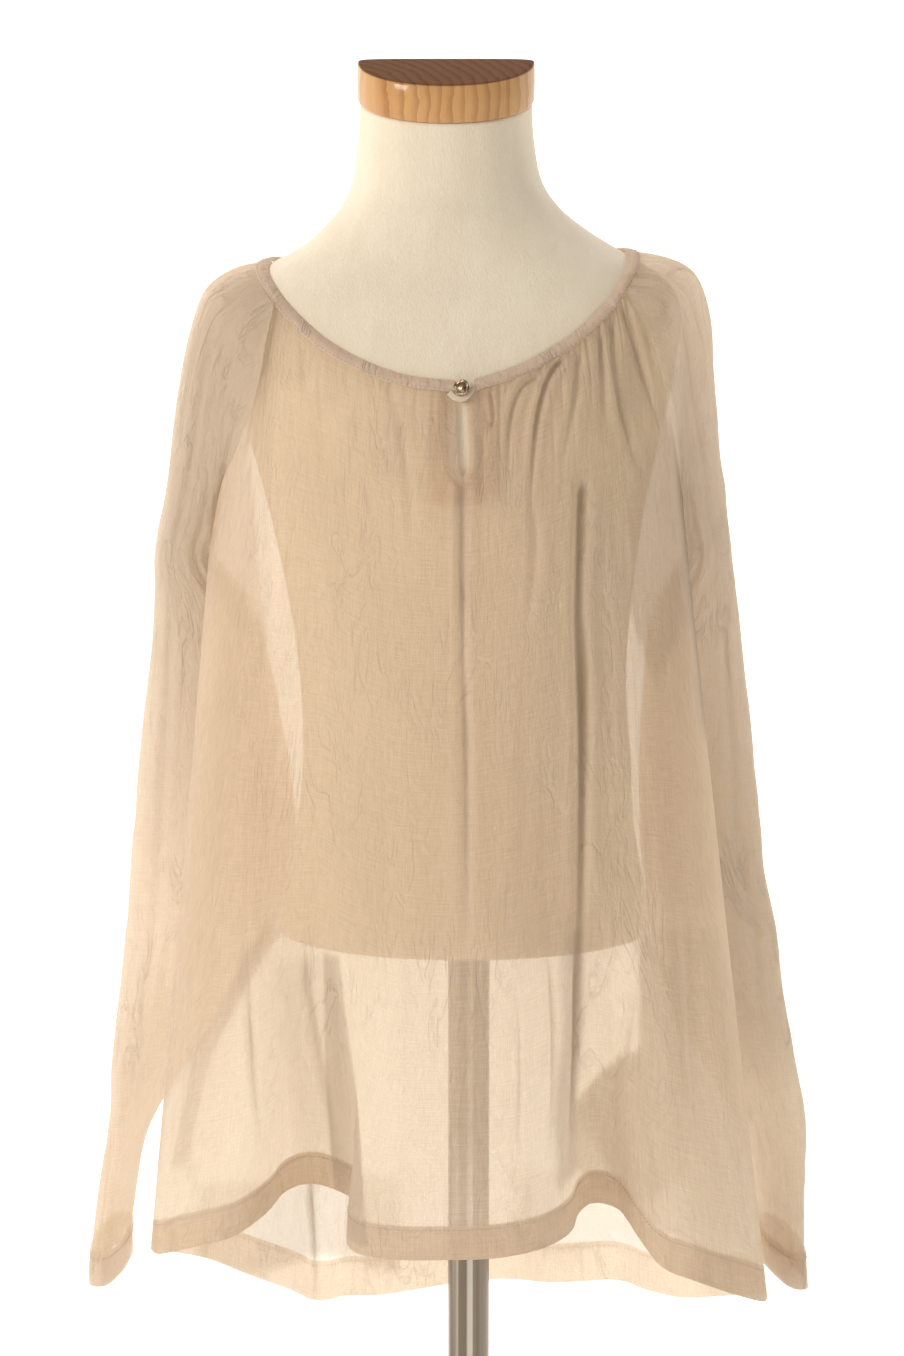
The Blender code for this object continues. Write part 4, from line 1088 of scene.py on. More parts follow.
def fold_depths(folds, across, down):
    """Depth of the soft troughs over a whole sheet."""
    total = np.zeros_like(across)
    for place, drift, start, end, width, depth in folds:
        reach = (across - place - drift * down) / width
        open_end = 1.0 if start <= 0.0 else smooths((down - start) / 0.06)
        fade = open_end * (1.0 - smooths((down - mix(start, end, 0.45)) / (0.55 * (end - start))))
        total += depth * fade * (np.exp(-reach ** 2) - 0.35 * np.exp(-(np.abs(reach) - 1.7) ** 2))
    return total


def small_gathers(draw, count, first, last, depth, width, longest):
    """Rows for small gathers between the large ones, unevenly spaced."""
    rows = []
    for step in range(count):
        place = mix(first, last, (step + draw.uniform(0.15, 0.85)) / count)
        length = longest * draw.uniform(0.25, 1.0) ** 1.5
        rows.append((place, draw.uniform(-0.02, 0.02), 0.0, length,
                     width * draw.uniform(0.7, 1.3), depth * draw.uniform(0.3, 1.0)))
    return rows


def ripples(draw, shape, down_cells, across_cells):
    """Soft random waves over a sheet, about one up or down to each cell."""
    lattice = draw.standard_normal((down_cells + 4, across_cells + 4))

    def spread(values, cells, count):
        place = 1.0 + np.linspace(0.0, cells, count)
        row = np.minimum(place.astype(int), cells + 1)
        share = (place - row)[:, None]
        before, start, end, after = (values[row + step] for step in (-1, 0, 1, 2))
        return 0.5 * (2.0 * start + (end - before) * share
                      + (2.0 * before - 5.0 * start + 4.0 * end - after) * share ** 2
                      + (3.0 * start - before - 3.0 * end + after) * share ** 3)

    tall = spread(lattice, down_cells, shape[0])
    return spread(tall.T, across_cells, shape[1]).T


def crumpled(draw, shape, waves):
    """Waves of several sizes in one. A row is cells down, cells across and height."""
    return sum(ripples(draw, shape, tall, wide) * height for tall, wide, height in waves)


def held_sides(across, width):
    """1 in the middle of a sheet and 0 where a seam holds its sides."""
    return np.minimum(smooths(across / width), smooths((1.0 - across) / width))


def seam_allowance(across, down):
    """Extra layers in the narrow strips that are turned in beside the side seams."""
    edge = np.minimum(across, 1.0 - across)
    strip = 1.0 - smooths((edge - ALLOWANCE_WIDTH) / ALLOWANCE_SOFT)
    return ALLOWANCE_LAYERS * strip * (down < ALLOWANCE_END)


def freed(down):
    """0 at the binding and 1 where nothing holds the cloth any more."""
    return smooths((down - HELD_SHARE) / 0.25)


def hem_held(down):
    """How much of the crumple a hem's stitches leave."""
    return 1.0 - 0.75 * smooths((down - HEM_START) / 0.04)


print("front creases", len(FRONT_CREASES), "back folds", len(BACK_FOLDS))

# %% [markdown]
# ## Voile
# Cotton voile is a plain weave of fine, slightly uneven yarns with open gaps between them. Light
# does three things in it: some passes straight through the gaps, some scatters through the yarns
# and some comes back. The finish mixes a Transparent, a Translucent and a Principled shader in
# those shares. The yarns' thick and thin places, long in their own direction and narrow across it,
# change how open the cloth is, along the flat sheet's own lengths so that they follow the folds.

# %% Voile
WARP_SCALE = (1700.0, 60.0, 1.0)
WEFT_SCALE = (60.0, 1700.0, 1.0)
YARN_SCALE = (2600.0, 2600.0, 1.0)
THICK_WARP_SCALE = (820.0, 30.0, 1.0)
THICK_WEFT_SCALE = (34.0, 760.0, 1.0)
CLOUD_SCALE = (14.0, 9.0, 1.0)
CRUMPLE_SCALE = (130.0, 60.0, 1.0)
CRINKLE_SCALE = (42.0, 11.0, 1.0)
# Crinkle lines count as this many layers, which paints shade along them.
CRINKLE_LAYERS_AND_SHADE = 0.45
CRINKLE_DIP = 0.30              # how deep a crinkle is beside the broader crumple
GRAIN_DEPTH, CREASE_DEPTH = 0.00014, 0.0038         # of the relief, in metres
GLOW_LEAST, GLOW_GAIN = 0.12, 0.42      # share that glows through thick cloth, and more if single
# Painted shade: doubled and creased cloth has its colour darkened towards this.
PAINTED_CREASE_SHADE = rgb(0.32, 0.225, 0.145)
GAP_TINT = rgb(1.0, 0.975, 0.915)


def voile_finish(name, lit, lit_deep, through, open_share, open_change):
    """Cloth lit_deep to lit in front light, through in back light, partly open, with painted crease
    shade.
    """
    made, finish, shader = new_finish(name)
    warp = finish.noise(finish.place("UV", WARP_SCALE), detail=2.0, roughness=0.6)
    weft = finish.noise(finish.place("UV", WEFT_SCALE), detail=2.0, roughness=0.6)
    yarn = finish.noise(finish.place("UV", YARN_SCALE), detail=0.0)
    cloud = finish.noise(finish.place("UV", CLOUD_SCALE), detail=4.0, roughness=0.6)
    crumple = finish.noise(finish.place("UV", CRUMPLE_SCALE), detail=4.0, roughness=0.62,
                           distortion=0.6)
    thick_warp = finish.noise(finish.place("UV", THICK_WARP_SCALE), detail=1.0)
    thick_weft = finish.noise(finish.place("UV", THICK_WEFT_SCALE), detail=1.0)
    slub = finish.ramp(warp * 0.35 + weft * 0.35 + thick_warp * 0.16 + thick_weft * 0.14, 0.36, 0.64)
    grain = slub * 0.75 + yarn * 0.25
    crinkled = finish.noise(finish.place("UV", CRINKLE_SCALE), detail=3.0, roughness=0.6,
                            distortion=1.1)
    line = 1.0 - finish.ramp(finish.maths("ABSOLUTE", crinkled - 0.5, 0.0), 0.0, 0.035)
    crinkle = line * finish.ramp(cloud, 0.42, 0.62)
    # The sheet's extra layers and painted shade, with crinkle lines counted the same way.
    doubled = finish.node("ShaderNodeAttribute", {"attribute_name": "layers_and_painted_shade"}, out="Fac")
    extra = doubled + crinkle * CRINKLE_LAYERS_AND_SHADE
    single = finish.maths("POWER", 0.5, extra)
    folded = 1.0 - single
    plain = finish.tint(grain * 0.55 + cloud * 0.45, lit_deep, lit)
    # Painted shade: the base colour darkens towards the crease shade as the layers and shade grow.
    shaded = finish.maths("POWER", folded, 1.5) * 0.95
    finish.feed(shader.inputs["Base Color"], finish.tint(shaded, plain, PAINTED_CREASE_SHADE))
    shader.inputs["Roughness"].default_value = 0.9
    shader.inputs["Specular IOR Level"].default_value = 0.12
    shader.inputs["Sheen Weight"].default_value = 0.15
    shader.inputs["Sheen Roughness"].default_value = 0.5
    creased = crumple - crinkle * CRINKLE_DIP
    relief = finish.bump(grain, GRAIN_DEPTH, 0.5, finish.bump(creased, CREASE_DEPTH, 0.70))
    finish.feed(shader.inputs["Normal"], relief)
    glow = finish.node("ShaderNodeBsdfTranslucent", None, {"Color": through, "Normal": relief})
    clear = finish.node("ShaderNodeBsdfTransparent", None, {"Color": GAP_TINT})
    glowing = single * GLOW_GAIN + GLOW_LEAST
    yarns = finish.node("ShaderNodeMixShader", None,
                        {0: glowing, 1: Value(finish, shader.outputs[0]), 2: glow})
    holes = (open_share + (0.5 - grain) * open_change) * single
    whole = finish.node("ShaderNodeMixShader", None, {0: holes, 1: yarns, 2: clear})
    finish.feed(made.node_tree.nodes["Material Output"].inputs["Surface"], whole)
    return made


def thread_finish():
    """Cotton sewing thread: pale, matt, with a twist along each stitch."""
    made, finish, shader = new_finish("sewing_thread")
    twist = finish.noise(finish.place("Object", (3000.0, 3000.0, 3000.0)), detail=1.0)
    finish.feed(shader.inputs["Base Color"],
                finish.tint(twist, rgb(0.46, 0.37, 0.31), rgb(0.68, 0.57, 0.48)))
    shader.inputs["Roughness"].default_value = 0.8
    shader.inputs["Specular IOR Level"].default_value = 0.2
    finish.feed(shader.inputs["Normal"], finish.bump(twist, 0.0001, 0.5))
    return made


VOILE_OPEN, VOILE_CHANGE = 0.35, 0.20       # share of gaps, and how much slubs change it
BINDING_OPEN, BINDING_CHANGE = 0.03, 0.03
voile = voile_finish("voile", rgb(0.80, 0.665, 0.545), rgb(0.76, 0.62, 0.50),
                     rgb(0.93, 0.80, 0.64), VOILE_OPEN, VOILE_CHANGE)
binding = voile_finish("binding", rgb(0.86, 0.73, 0.61), rgb(0.80, 0.67, 0.55),
                       rgb(0.88, 0.75, 0.61), BINDING_OPEN, BINDING_CHANGE)
thread = thread_finish()
print("voile lets", VOILE_OPEN, "of the light straight through")

# %% [markdown]
# ## A sheet from a grid
# Blender's own flat grid is laid on the worked-out points, one for one. Its flat coordinates are
# the lengths along the cloth, so that a yarn is as thick on a sleeve as on the front.

# %% A sheet from a grid
def cloth_lengths(grid):
    """Flat coordinates in metres: across, two thirds of the way down, and down the middle."""
    across = np.linalg.norm(np.diff(grid[grid.shape[0] * 2 // 3], axis=0), axis=1)
    down = np.linalg.norm(np.diff(grid[:, grid.shape[1] // 2], axis=0), axis=1)
    flat_across = np.concatenate([[0.0], np.cumsum(across)]) * CM
    flat_down = np.concatenate([[0.0], np.cumsum(down)]) * CM
    return flat_across, flat_down


WELD_GAP = 0.00005              # metres between the two ends of a sleeve's rings


def sheet_piece(name, grid, facing, finish, layers=None, missing=None, weld=False):
    """A named sheet on a grid of points in centimetres. missing(row, column) leaves cells out."""
    rows, columns = grid.shape[:2]
    cloth = bmesh.new()
    cloth.loops.layers.uv.new("flat")
    bmesh.ops.create_grid(cloth, x_segments=columns - 1, y_segments=rows - 1, size=0.5)
    if missing is not None:
        gone = []
        for face in cloth.faces:
            middle = face.calc_center_median()
            column = int((middle.x + 0.5) * (columns - 1))
            row = int((0.5 - middle.y) * (rows - 1))
            if missing(row, column):
                gone.append(face)
        bmesh.ops.delete(cloth, geom=gone, context="FACES")
    if facing > 0.0:
        bmesh.ops.reverse_faces(cloth, faces=cloth.faces[:])
    mesh = bpy.data.meshes.new(name)
    cloth.to_mesh(mesh)
    cloth.free()
    spots = np.empty(len(mesh.vertices) * 3)
    mesh.vertices.foreach_get("co", spots)
    spots = spots.reshape(-1, 3)
    column = np.rint((spots[:, 0] + 0.5) * (columns - 1)).astype(int)
    row = np.rint((0.5 - spots[:, 1]) * (rows - 1)).astype(int)
    mesh.vertices.foreach_set("co", (grid[row, column] * CM).ravel())
    flat_across, flat_down = cloth_lengths(grid)
    corner = np.empty(len(mesh.loops), dtype=int)
    mesh.loops.foreach_get("vertex_index", corner)
    flat = np.stack([flat_across[column[corner]], -flat_down[row[corner]]], axis=1)
    mesh.uv_layers["flat"].data.foreach_set("uv", flat.ravel())
    if layers is None:
        layers = np.zeros(grid.shape[:2])
    # Extra layers and painted shade, which the cloth's finish turns into a darker colour.
    extra = mesh.attributes.new("layers_and_painted_shade", "FLOAT", "POINT")
    extra.data.foreach_set("value", layers[row, column].astype(np.float32))
    if weld:
        welded = bmesh.new()
        welded.from_mesh(mesh)
        bmesh.ops.remove_doubles(welded, verts=welded.verts[:], dist=WELD_GAP)
        welded.to_mesh(mesh)
        welded.free()
    mesh.materials.append(finish)
    mesh.polygons.foreach_set("use_smooth", [True] * len(mesh.polygons))
    mesh.update()
    piece = bpy.data.objects.new(name, mesh)
    bpy.context.scene.collection.objects.link(piece)
    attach(piece, "root")
    area = sum(face.area for face in mesh.polygons)
    print(name, len(mesh.polygons), "cells,", round(area, 4), "square metres,",
          round(float(flat_across[-1]), 3), "by", round(float(flat_down[-1]), 3))
    return piece


def shares(grid, rows, times):
    """Share across and share down of every point of a fine grid."""
    down = np.clip(stretched(np.array(rows), times), 0.0, 1.0)
    across = np.linspace(0.0, 1.0, grid.shape[1])
    return np.meshgrid(across, down)


print("sheets ready")

# %% [markdown]
# ## Stitches
# Sewing shows as rows of short raised stitches. They could be painted on with a dashed pattern,
# but real ones catch the light, so each is a small stretched ball laid along the seam. A ball has
# two dozen faces, because there are hundreds of them.

# %% Stitches
STITCH_LONG = 0.21
STITCH_STEP = 0.31
STITCH_RADIUS = 0.030
STITCH_LIFT = 0.02              # how far a stitch stands on its cloth


def stitch_row(body, points, normals, lift):
    """Short rounded stitches, one after the other, along a line on the cloth."""
    points, normals = np.asarray(points, dtype=float), np.asarray(normals, dtype=float)
    lengths = np.concatenate([[0.0],
                              np.cumsum(np.linalg.norm(np.diff(points, axis=0), axis=1))])

    def read(table, place):
        return Vector([np.interp(place, lengths, table[:, axis]) for axis in range(3)])

    for number in range(int(lengths[-1] / STITCH_STEP)):
        place = (number + 0.5) * STITCH_STEP
        middle = read(points, place)
        way = (read(points, place + 0.1) - read(points, place - 0.1)).normalized()
        over = way.cross(read(normals, place)).normalized()
        out = over.cross(way)
        turned = Matrix((over * STITCH_RADIUS, out * STITCH_RADIUS, way * (STITCH_LONG * 0.5)))
        turned = turned.transposed().to_4x4()
        turned.translation = middle + out * lift
        bmesh.ops.create_uvsphere(body, u_segments=6, v_segments=4, radius=1.0, matrix=turned)


def stitch_piece(name, rows):
    """One piece of sewing from rows of points, normals and lift."""
    body = bmesh.new()
    for points, normals, lift in rows:
        stitch_row(body, points, normals, lift)
    piece = add_piece(name, body, thread)
    print(name, len(piece.data.polygons), "faces")
    return piece


print("a stitch is", STITCH_LONG, "cm long")

# %% [markdown]
# ## Front
# The front carries the keyhole, a slit under the button. Its left edge is turned in and lies flat,
# its right edge rolls outwards. The columns beside the slit are drawn apart to its two edges, and
# the cells between them are left out.

# %% Front
ROW_FINER = 10
COLUMN_FINER = 7
SLIT_REACH = 20           # columns on each side of the slit that move with its edges
# height, left edge, right edge
SLIT_EDGES = [
    (131.2, -0.98, -0.20),
    (130.3, -0.96, -0.26),
    (129.5, -0.91, -0.24),
    (128.4, -0.87, -0.12),
    (127.2, -0.82, -0.08),
    (126.3, -0.76, -0.12),
    (125.8, -0.68, -0.20),
    (125.3, -0.52, -0.40),
]
GROOVE_SHADE, GROOVE_WIDTH = 4.5, 0.060     # painted shade in the shadow gap beside the right sleeve
GROOVE_TOP, GROOVE_FLOOR = 134.5, 104.0
ROLL_WIDTH, ROLL_HEIGHT = 0.50, 0.15
ROLL_TOP, ROLL_FLOOR = 130.4, 125.0
ROLL_LAYERS, SHADE_LAYERS, TURNED_LAYERS = 0.35, 1.0, 0.8   # on, beside and across from the roll
SHEET_CLEAR = 0.20                           # the least from the form's skin to a fine sheet
# cells down, cells across, height
FRONT_WAVES = [(8, 15, 0.055), (14, 40, 0.028), (60, 90, 0.013)]


def front_sheet():
    grid = finer(front_coarse, ROW_FINER, COLUMN_FINER)
    across, down = shares(grid, FRONT_ROWS, ROW_FINER)
    normal = out_of(grid, -1.0)
    draw = np.random.default_rng(11)
    gathers = (small_gathers(draw, 11, 0.10, 0.47, 0.060, 0.0052, 0.12)
               + small_gathers(draw, 17, 0.53, 0.92, 0.120, 0.0044, 0.17))
    sunk, double = crease_fields(grid, FRONT_CREASES)
    depth = fold_depths(gathers, across, down) + sunk
    crumple = crumpled(draw, across.shape, FRONT_WAVES) * freed(down) * hem_held(down)
    height = (crumple - depth) * held_sides(across, SIDE_HOLD)
    grid = grid + normal * height[:, :, None]
    keep_clear(grid, SHEET_CLEAR)
    # Painted shade in the troughs of the gathers, deeper troughs darker.
    gathered = GATHER_SHADE * np.clip(depth - sunk, 0.0, None)
    # Painted shade: the shadow gap along the edge beside the right sleeve.
    groove = GROOVE_SHADE * (1.0 - smooths((1.0 - across) / GROOVE_WIDTH))
    groove *= smooths((GROOVE_TOP - grid[:, :, 2]) / 4.0)
    groove *= smooths((grid[:, :, 2] - GROOVE_FLOOR) / 5.0)
    extra = double + patch_layers_and_shade(grid, FRONT_PATCHES) + seam_allowance(across, down)
    return grid, down, extra + gathered + groove


def open_slit(grid, down, layers):
    """Draw the columns beside the slit to its edges and roll the right one outwards."""
    slit = (grid.shape[1] - 1) // 2
    rows = int(np.searchsorted(down[:, 0], SLIT_SHARE))
    heights = [row[0] for row in reversed(SLIT_EDGES)]
    normal = out_of(grid, -1.0)
    for row in range(rows + 1):
        level = grid[row, slit, 2]
        for side, column, edge in ((-1, slit, 1), (1, slit + 1, 2)):
            wanted = np.interp(level, heights, [line[edge] for line in reversed(SLIT_EDGES)])
            if row == rows:
                wanted = 0.5 * (SLIT_EDGES[-1][1] + SLIT_EDGES[-1][2])
            shift = wanted - grid[row, column, 0]
            for step in range(SLIT_REACH):
                grid[row, column + side * step, 0] += shift * (1.0 - smooth(step / SLIT_REACH))
    right = grid[:, slit + 1, 0].copy()
    for row in range(rows + 6):
        level = grid[row, slit, 2]
        rise = smooth((ROLL_TOP - level) / 1.0) * smooth((level - ROLL_FLOOR) / 0.8)
        for column in range(slit + 1, slit + 2 * SLIT_REACH):
            part = (grid[row, column, 0] - right[min(row, rows)]) / ROLL_WIDTH
            if 0.0 <= part <= 1.0:
                lift = ROLL_HEIGHT * math.sqrt(max(0.0, 1.0 - (2.0 * part - 1.0) ** 2))
                grid[row, column] += normal[row, column] * lift * rise
                layers[row, column] += ROLL_LAYERS * rise
            elif 1.0 < part < 1.4:
                # Painted shade beside the roll, where the rolled edge shades the cloth.
                layers[row, column] += SHADE_LAYERS * rise
        for step in range(3):
            layers[row, slit - step] += TURNED_LAYERS * rise
    return slit, rows


# The front's extra layers and painted shade, which darken its colour.
front_grid, front_down, front_layers_and_shade = front_sheet()
slit_column, slit_rows = open_slit(front_grid, front_down, front_layers_and_shade)


def in_slit(row, column):
    return column == slit_column and row < slit_rows


front = sheet_piece("front_voile", front_grid, -1.0, voile, front_layers_and_shade, in_slit)
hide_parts("front")

# %% [markdown]
# ## Keyhole facing
# A strip behind the slit keeps it from tearing. It is stitched down all round, which shows as a
# row of stitches left of the slit, round its tip and up again on the right.

# %% Keyhole facing
FACING_COLUMNS = 26
FACING_ROWS = 8
FACING_GAP = 0.10
SEAM_POINTS = 60
# x, z
FACING_SEAM = [
    (-1.50, 130.7),
    (-1.52, 128.8),
    (-1.52, 127.0),
    (-1.46, 125.7),
    (-1.08, 124.95),
    (-0.48, 124.70),
    (0.12, 124.95),
    (0.46, 125.8),
    (0.54, 127.5),
    (0.54, 129.2),
    (0.52, 130.7),
]


def on_sheet(grid, normal, line):
    """Points and normals of a sheet where a line of x, z rows crosses it."""
    points, normals = [], []
    upright = [(x, 0.0, z) for x, z in line]
    for place in even_places(upright, SEAM_POINTS):
        spot = along(upright, place)
        away = (grid[:, :, 0] - spot.x) ** 2 + (grid[:, :, 2] - spot.z) ** 2
        near = np.unravel_index(np.argmin(away), away.shape)
        points.append((spot.x, grid[near][1], spot.z))
        normals.append(normal[near])
    return points, normals


front_out = out_of(front_grid, -1.0)
pick = slice(slit_column - FACING_COLUMNS, slit_column + FACING_COLUMNS + 2)
facing_grid = (front_grid - front_out * FACING_GAP)[:slit_rows + FACING_ROWS, pick]
facing = sheet_piece("keyhole_facing_voile", facing_grid, -1.0, voile,
                     missing=lambda row, column: column == FACING_COLUMNS and row < slit_rows)
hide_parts("keyhole_facing")
keyhole_points, keyhole_normals = on_sheet(front_grid[:slit_rows + 20], front_out, FACING_SEAM)
stitch_piece("keyhole_stitches", [(keyhole_points, keyhole_normals, STITCH_LIFT)])

# %% [markdown]
# ## Back
# The back is cut longer than the front and hangs off the flat back of the form.

# %% Back
BACK_COLUMN_FINER = 6
BACK_WAVES = [(9, 14, 0.060), (18, 40, 0.030), (60, 80, 0.010)]


def back_sheet():
    grid = finer(back_coarse, ROW_FINER, BACK_COLUMN_FINER)
    across, down = shares(grid, BACK_ROWS, ROW_FINER)
    normal = out_of(grid, 1.0)
    draw = np.random.default_rng(23)
    folds = BACK_FOLDS + small_gathers(draw, 44, 0.13, 0.87, 0.070, 0.0040, 0.12)
    sunk, double = crease_fields(grid, BACK_CREASES)
    depth = fold_depths(folds, across, down)
    # Painted shade in the troughs of the folds, deeper troughs darker.
    gathered = GATHER_SHADE * np.clip(depth, 0.0, None)
    depth += sunk
    crumple = crumpled(draw, across.shape, BACK_WAVES) * freed(down) * hem_held(down)
    height = (crumple - depth) * held_sides(across, SIDE_HOLD)
    grid = grid + normal * height[:, :, None]
    keep_clear(grid, SHEET_CLEAR)
    extra = double + patch_layers_and_shade(grid, BACK_PATCHES) + seam_allowance(across, down) + gathered
    return grid, extra


# The back's extra layers and painted shade, which darken its colour.
back_grid, back_layers_and_shade = back_sheet()
back = sheet_piece("back_voile", back_grid, 1.0, voile, back_layers_and_shade)
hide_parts("back")

# %% [markdown]
# ## Sleeves
# A raglan sleeve starts at the neck binding, runs over the shoulder and hangs behind the body as a
# flattened tube. Its rings turn as they go down, because an empty sleeve twists on its hanger.

# %% Sleeves
SLEEVE_ROW_FINER = 9
SLEEVE_COLUMN_FINER = 7
SLEEVE_WAVES = [(14, 7, 0.085), (34, 18, 0.040), (90, 40, 0.012)]
SLEEVE_HOLD = 0.06
RING_POWER = 0.8                # below 1 the flattened rings are squarer at their ends
OUTER_EDGE, OUTER_WIDTH = 0.53, 0.12        # share across where the sleeve folds outside
FAR_BEHIND = 40.0               # behind everything, where the search for the back cloth starts
UNDERARM_OPEN, UNDERARM_WIDTH = 0.9, 0.09


def sleeve_ring(row, side, across):
    """Point on a flattened ring of the sleeve, from its front inner edge round to its back one."""
    height, middle_x, middle_y, half_width, half_thick, turn = row
    angle = math.radians(turn)
    long_way = Vector((side * math.cos(angle), math.sin(angle), 0.0))
    deep_way = Vector((-side * math.sin(angle), math.cos(angle), 0.0))
    swing = 2.0 * math.pi * across
    deep = -math.copysign(abs(math.sin(swing)) ** RING_POWER, math.sin(swing))
    point = Vector((middle_x, middle_y, height))
    return point + long_way * (-half_width * math.cos(swing)) + deep_way * (half_thick * deep)


def sleeve_top(side):
    if side == LEFT:
        front_seam = seam_line(SEAM_FRONT_LEFT, RAGLAN_FRONT_LEFT)
        back_seam = seam_line(SEAM_BACK_LEFT, RAGLAN_BACK_LEFT)
        start, end = SEAM_FRONT_LEFT, SEAM_BACK_LEFT
    else:
        front_seam = seam_line(SEAM_FRONT_RIGHT, RAGLAN_FRONT_RIGHT)
        back_seam = seam_line(SEAM_BACK_RIGHT, RAGLAN_BACK_RIGHT)
        start, end = SEAM_FRONT_RIGHT, SEAM_BACK_RIGHT
    quarter = SLEEVE_COLUMNS // 4
    points = [along(front_seam, place) for place in reversed(even_places(front_seam, quarter))]
    middle = SLEEVE_COLUMNS - 2 * quarter
    for step in range(1, middle):
        place = mix(start, end, step / middle)
        points.append(neck_point(place, BAND_WIDTH, FORM_CLEAR))
    points.extend(along(back_seam, place) for place in even_places(back_seam, quarter))
    return points


def grid_tree(grid):
    points = [point for line in grid for point in line]
    columns = len(grid[0])
    faces = []
    for row in range(len(grid) - 1):
        for column in range(columns - 1):
            corner = row * columns + column
            faces.append((corner, corner + 1, corner + columns + 1, corner + columns))
    return BVHTree.FromPolygons(points, faces)


def stay_behind(tree, line):
    """Move one ring of the sleeve back until all of it is behind the body's back cloth."""
    need = 0.0
    for point in line:
        hit, _, _, _ = tree.ray_cast(Vector((point.x, FAR_BEHIND, point.z)), Vector((0, -1, 0)))
        if hit is not None:
            need = max(need, hit.y + BEHIND_GAP - point.y)
    return [point + Vector((0, need, 0)) for point in line]


def kneed(share, at_knee):
    """A share that runs straight to the shoulder's corner and straight on from there."""
    if share <= SHOULDER_KNEE:
        return at_knee * share / SHOULDER_KNEE
    return mix(at_knee, 1.0, (share - SHOULDER_KNEE) / (1.0 - SHOULDER_KNEE))


def bulge(side, across, share):
    over = (across - BULGE_ACROSS) / BULGE_WIDTH
    down = (share - BULGE_DOWN) / BULGE_LENGTH
    return BULGE[side] * math.exp(-over * over - down * down)


def sleeve_coarse(tree, table, side):
    top = sleeve_top(side)
    last = len(top) - 1
    grid = []
    for row in range(SHOULDER_ROWS):
        share = row / SHOULDER_ROWS
        line = []
        for step in range(last + 1):
            across = step / last
            swell = max(0.0, math.sin(math.pi * across)) ** 0.5
            end = sleeve_ring(table[0], side, across)
            out = mix(share, kneed(share, KNEE_OUT[side]), swell)
            fall = mix(share, kneed(share, KNEE_FALL[side]), swell)
            point = Vector((mix(top[step].x, end.x, out), mix(top[step].y, end.y, out),
                            mix(top[step].z, end.z, fall)))
            point.x += side * bulge(side, across, share)
            line.append(rest_on(point, FORM_CLEAR))
        grid.append(line)
    for row in range(SLEEVE_ROWS + 1):
        share = CUFF_SHARE if row == SLEEVE_ROWS - 1 else row / SLEEVE_ROWS
        ring = along([Vector(line) for line in table], share * (len(table) - 1))
        line = [sleeve_ring(ring, side, step / last) for step in range(last + 1)]
        grid.append(stay_behind(tree, line))
    ease(grid, SLEEVE_COLUMNS // 2 + 1, SHOULDER_ROWS, EASE_ROUNDS)
    clear_cells(grid, FORM_CLEAR - 0.02)
    return grid


def sleeve_sheet(tree, table, side, seed):
    grid = finer(sleeve_coarse(tree, table, side), SLEEVE_ROW_FINER, SLEEVE_COLUMN_FINER)
    total = grid.shape[0] - 1
    down = np.linspace(0.0, 1.0, total + 1)
    across, down = np.meshgrid(np.linspace(0.0, 1.0, grid.shape[1]), down)
    normal = out_of(grid, -side)
    draw = np.random.default_rng(seed)
    folds = SLEEVE_FOLDS + small_gathers(draw, 16, 0.27, 0.73, 0.06, 0.006, 0.12)
    depth = fold_depths(folds, across, down)
    free = smooths((down - 0.08) / 0.25)
    crumple = crumpled(draw, across.shape, SLEEVE_WAVES)
    sides = held_sides(across, SLEEVE_HOLD)
    cuffed = 1.0 - 0.7 * smooths((down - 0.93) / 0.03)
    grid = grid + normal * ((crumple * free * cuffed - depth) * sides)[:, :, None]
    keep_clear(grid, SHEET_CLEAR)
    # Down its length the sleeve is darkened and lets less light through, by the table above.
    doubled = np.interp(down, *zip(*SLEEVE_DIMMED[side]))
    outer = SLEEVE_EDGE_OPEN[side] * np.exp(-((across - OUTER_EDGE) / OUTER_WIDTH) ** 2)
    under = UNDERARM_OPEN * np.exp(-(np.minimum(across, 1.0 - across) / UNDERARM_WIDTH) ** 2)
    under *= smooths((down - 0.16) / 0.08) * (1.0 - smooths((down - 0.50) / 0.10))
    # Painted shade in the troughs of the sleeve's folds, deeper troughs darker.
    doubled = doubled * (1.0 - outer) * (1.0 - under) + GATHER_SHADE * np.clip(depth, 0.0, None)
    return grid, doubled


behind = grid_tree(back_coarse)
sleeve_grids = {}
for label, table, side, seed in (("left", SLEEVE_LEFT, LEFT, 31), ("right", SLEEVE_RIGHT, RIGHT, 37)):
    sleeve_grids[label], doubled = sleeve_sheet(behind, table, side, seed)
    sleeve = sheet_piece("sleeve_voile_" + label, sleeve_grids[label], -side, voile, doubled,
                         weld=True)
    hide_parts("sleeve_" + label)

# %% [markdown]
# ## Hems and cuffs
# Each hem is the panel's own end turned up inside and stitched. The second layer starts on the
# fold at the very edge, goes round it and up the inside. A cuff lies outside its sleeve.

# %% Hems and cuffs
HEM_ROWS = ROW_FINER
TURN_HEIGHT = 0.09
TURN_STEPS = 4
CUFF_GAP = 0.12                 # from the sleeve to the cuff on its outside
HEM_LAYERS = {"front": 1.0, "back": -0.25}
CUFF_LAYERS = {"left": 0.4, "right": 0.6}


def turned_hem(grid, facing, rows, lift):
    """The turned-up layer: round the fold at the edge, then up the inside of the panel."""
    normal = out_of(grid, facing)
    edge = grid[-1]
    down_way = grid[-1] - grid[-2]
    down_way /= np.linalg.norm(down_way, axis=1, keepdims=True)
    lines = []
    for step in range(TURN_STEPS + 1):
        angle = math.pi * step / TURN_STEPS
        inward = lift * 0.5 * (1.0 - math.cos(angle))
        lines.append(edge - normal[-1] * inward + down_way * (lift * 0.5 * math.sin(angle)))
    for step in range(1, rows + 1):
        lines.append(grid[-1 - step] - normal[-1 - step] * lift)
    return np.array(lines)


